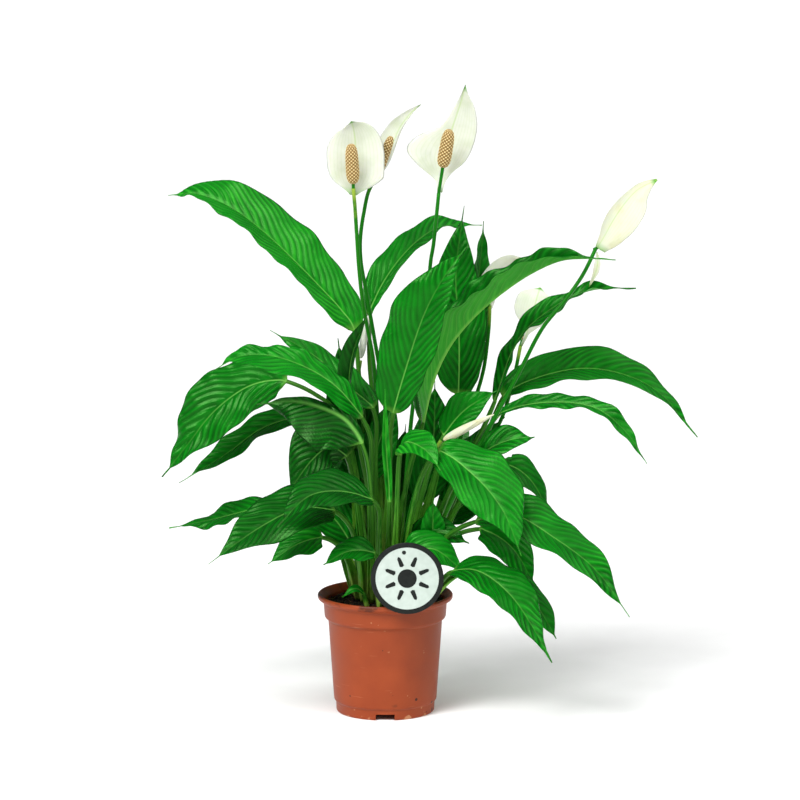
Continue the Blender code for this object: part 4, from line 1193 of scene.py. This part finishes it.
straw = [(0.3, "#4A2A17"), (0.55, "#7A4F30"), (0.75, "#B58A5E")]
fibre = grained_material("Peat fibre, dry and split", 0.85, 1.45, 300.0, 3.0, straw)
all_points, all_faces = [], []
for _ in range(FIBRES):
    x, y = dropped_within(FIBRE_REACH)
    heading = chance.uniform(0, math.tau)
    length = chance.uniform(5, 14) * MM
    route = []
    for k in range(5):
        heading += chance.uniform(-0.35, 0.35)
        x, y = x + length / 4 * math.cos(heading), y + length / 4 * math.sin(heading)
        pull = min(1.0, FIBRE_LIMIT / max(math.hypot(x, y), 1e-6))  # keeps it inside the pot
        x, y = x * pull, y * pull
        route.append((x, y, soil_top(x, y) + (0.3 + 0.9 * (k % 2)) * MM * chance.uniform(0.5, 1.2)))
    width = chance.uniform(0.15, 0.4) * MM
    tube, tube_faces, _ = round_tube(np.array(route), [width * 0.5, width, width * 0.4], 14, 5)
    base = len(all_points)
    all_points += tube.tolist()
    all_faces += [tuple(base + i for i in face) for face in tube_faces]
add_piece("soil_fibres", all_points, all_faces, [fibre])
print("soil top mm", round(soil_high.z / MM, 1), "crumbs", CRUMBS, "fibres", FIBRES)

# %% [markdown]
# ## The plant tag
# The tag is a round of white card with a charcoal rim, punched near its top, on a green strip that holds it to
# the rim of the pot. It carries a plain care mark, a sun, cut as a thin dark layer that stands just proud of the
# card. A dark disc set just behind the punched hole is painted shade in the hole.

# %% Tag
card = grained_material(
    "Coated white card, printed", 0.35, 1.5, 160.0, 4.0, [(0.3, "#AEBBB2"), (0.7, "#BAC6BE")], (0.1, 0.2)
)
ink = grained_material(
    "Charcoal ink on card, satin", 0.45, 1.5, 260.0, 3.0, [(0.3, "#0C100E"), (0.7, "#171C19")],
    Specular_IOR_Level=0.2,
)
green_strip = grained_material(
    "Polystyrene label strip, green", 0.3, 1.59, 80.0, 3.0, [(0.3, "#12401B"), (0.7, "#1B5526")]
)

tag_low, tag_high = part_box("tag_disc")
tag_centre = (tag_low + tag_high) / 2
tag_radius = (tag_high.x - tag_low.x) / 2 / MM
RIM_WIDTH = 4.6
FRONT = (tag_high.y - tag_low.y) / 2 / MM
HOLE_X, HOLE_Y, HOLE_RADIUS = -3.0, 25.0, 2.0
SUN_RADIUS, RAYS = 9.0, 8
RAY = [(13, -2.2), (21, -1.6), (22.5, 0), (21, 1.6), (13, 2.2), (12, 0)]  # along it and across it


def upright(points):
    """Turns a shape spun round Z so that its axis looks at -Y, and sets it at the middle of the tag."""
    return [(tag_centre.x + x, tag_centre.y - z, tag_centre.z + y) for x, y, z in points]


card_radius, card_half = tag_radius - RIM_WIDTH + 0.4, FRONT - 0.1  # it ends just inside the rim
card_profile = [(0.0, card_half), (card_radius, card_half), (card_radius, -card_half), (0.0, -card_half)]
points, faces = turned(card_profile, 96)
tag_face = add_piece("tag_card", upright(points), faces, [card], ("tag_disc",))
ring = [
    (tag_radius - RIM_WIDTH, FRONT), (tag_radius - 0.5, FRONT), (tag_radius, FRONT - 0.5),
    (tag_radius, -FRONT + 0.5), (tag_radius - 0.5, -FRONT), (tag_radius - RIM_WIDTH, -FRONT),
]
RING_COLUMNS = 120
angle = np.linspace(0, math.tau, RING_COLUMNS, endpoint=False)
points = [(r * math.cos(a) * MM, r * math.sin(a) * MM, z * MM) for a in angle for r, z in ring]
faces = loop_faces(RING_COLUMNS, len(ring), False)
last = (RING_COLUMNS - 1) * len(ring)
faces += [(last + j, last + (j + 1) % len(ring), (j + 1) % len(ring), j) for j in range(len(ring))]
rim = add_piece("tag_rim", upright(points), faces, [ink])
rim.data.set_sharp_from_angle(angle=math.radians(30))
hole_place = tag_centre + Vector((HOLE_X, 0, HOLE_Y)) * MM
bpy.ops.mesh.primitive_cylinder_add(
    vertices=32, radius=HOLE_RADIUS * MM, depth=10 * MM, location=hole_place, rotation=(math.pi / 2, 0, 0)
)
cut_with(tag_face, [bpy.context.object])

work = bmesh.new()


def add_layer(points, proud):
    """A flat shape in the tag's plane, in millimetres, whose front stands this proud of the card's rim."""
    front, back = (
        [work.verts.new(upright([(x * MM, y * MM, (FRONT + depth) * MM)])[0]) for x, y in points]
        for depth in (proud, -0.6)
    )
    work.faces.new(front)
    work.faces.new(back[::-1])
    for i in range(len(points)):
        j = (i + 1) % len(points)
        work.faces.new((front[i], back[i], back[j], front[j]))


add_layer([(x, y) for x, y, _ in on_circle(SUN_RADIUS, 40)], 0.05)
# A dark disc just behind the face of the punched hole is painted shade in the hole.
add_layer([(x, y) for x, y, _ in on_circle(HOLE_RADIUS - 0.05, 24, 0.0, HOLE_X, HOLE_Y)], -0.35)
for n in range(RAYS):
    a = math.tau * n / RAYS + math.pi / RAYS
    along_ray, beside = Vector((math.cos(a), math.sin(a))), Vector((-math.sin(a), math.cos(a)))
    add_layer([along_ray * u + beside * v for u, v in RAY], 0.05)
bmesh.ops.recalc_face_normals(work, faces=work.faces)
sun_and_hole_shade_mesh = bpy.data.meshes.new("tag_sun")
work.to_mesh(sun_and_hole_shade_mesh)
work.free()
sun_and_hole_shade_mesh.materials.append(ink)
hang("tag_sun", sun_and_hole_shade_mesh)

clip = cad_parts["tag_clip"]
clip.data.materials.clear()
clip.data.materials.append(green_strip)
print("tag radius mm", round(tag_radius, 1), "centre", [round(v / MM, 1) for v in tag_centre])

# %% Finish
for node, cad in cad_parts.items():
    if not cad.hide_render:
        print("CAD node still shown", node)
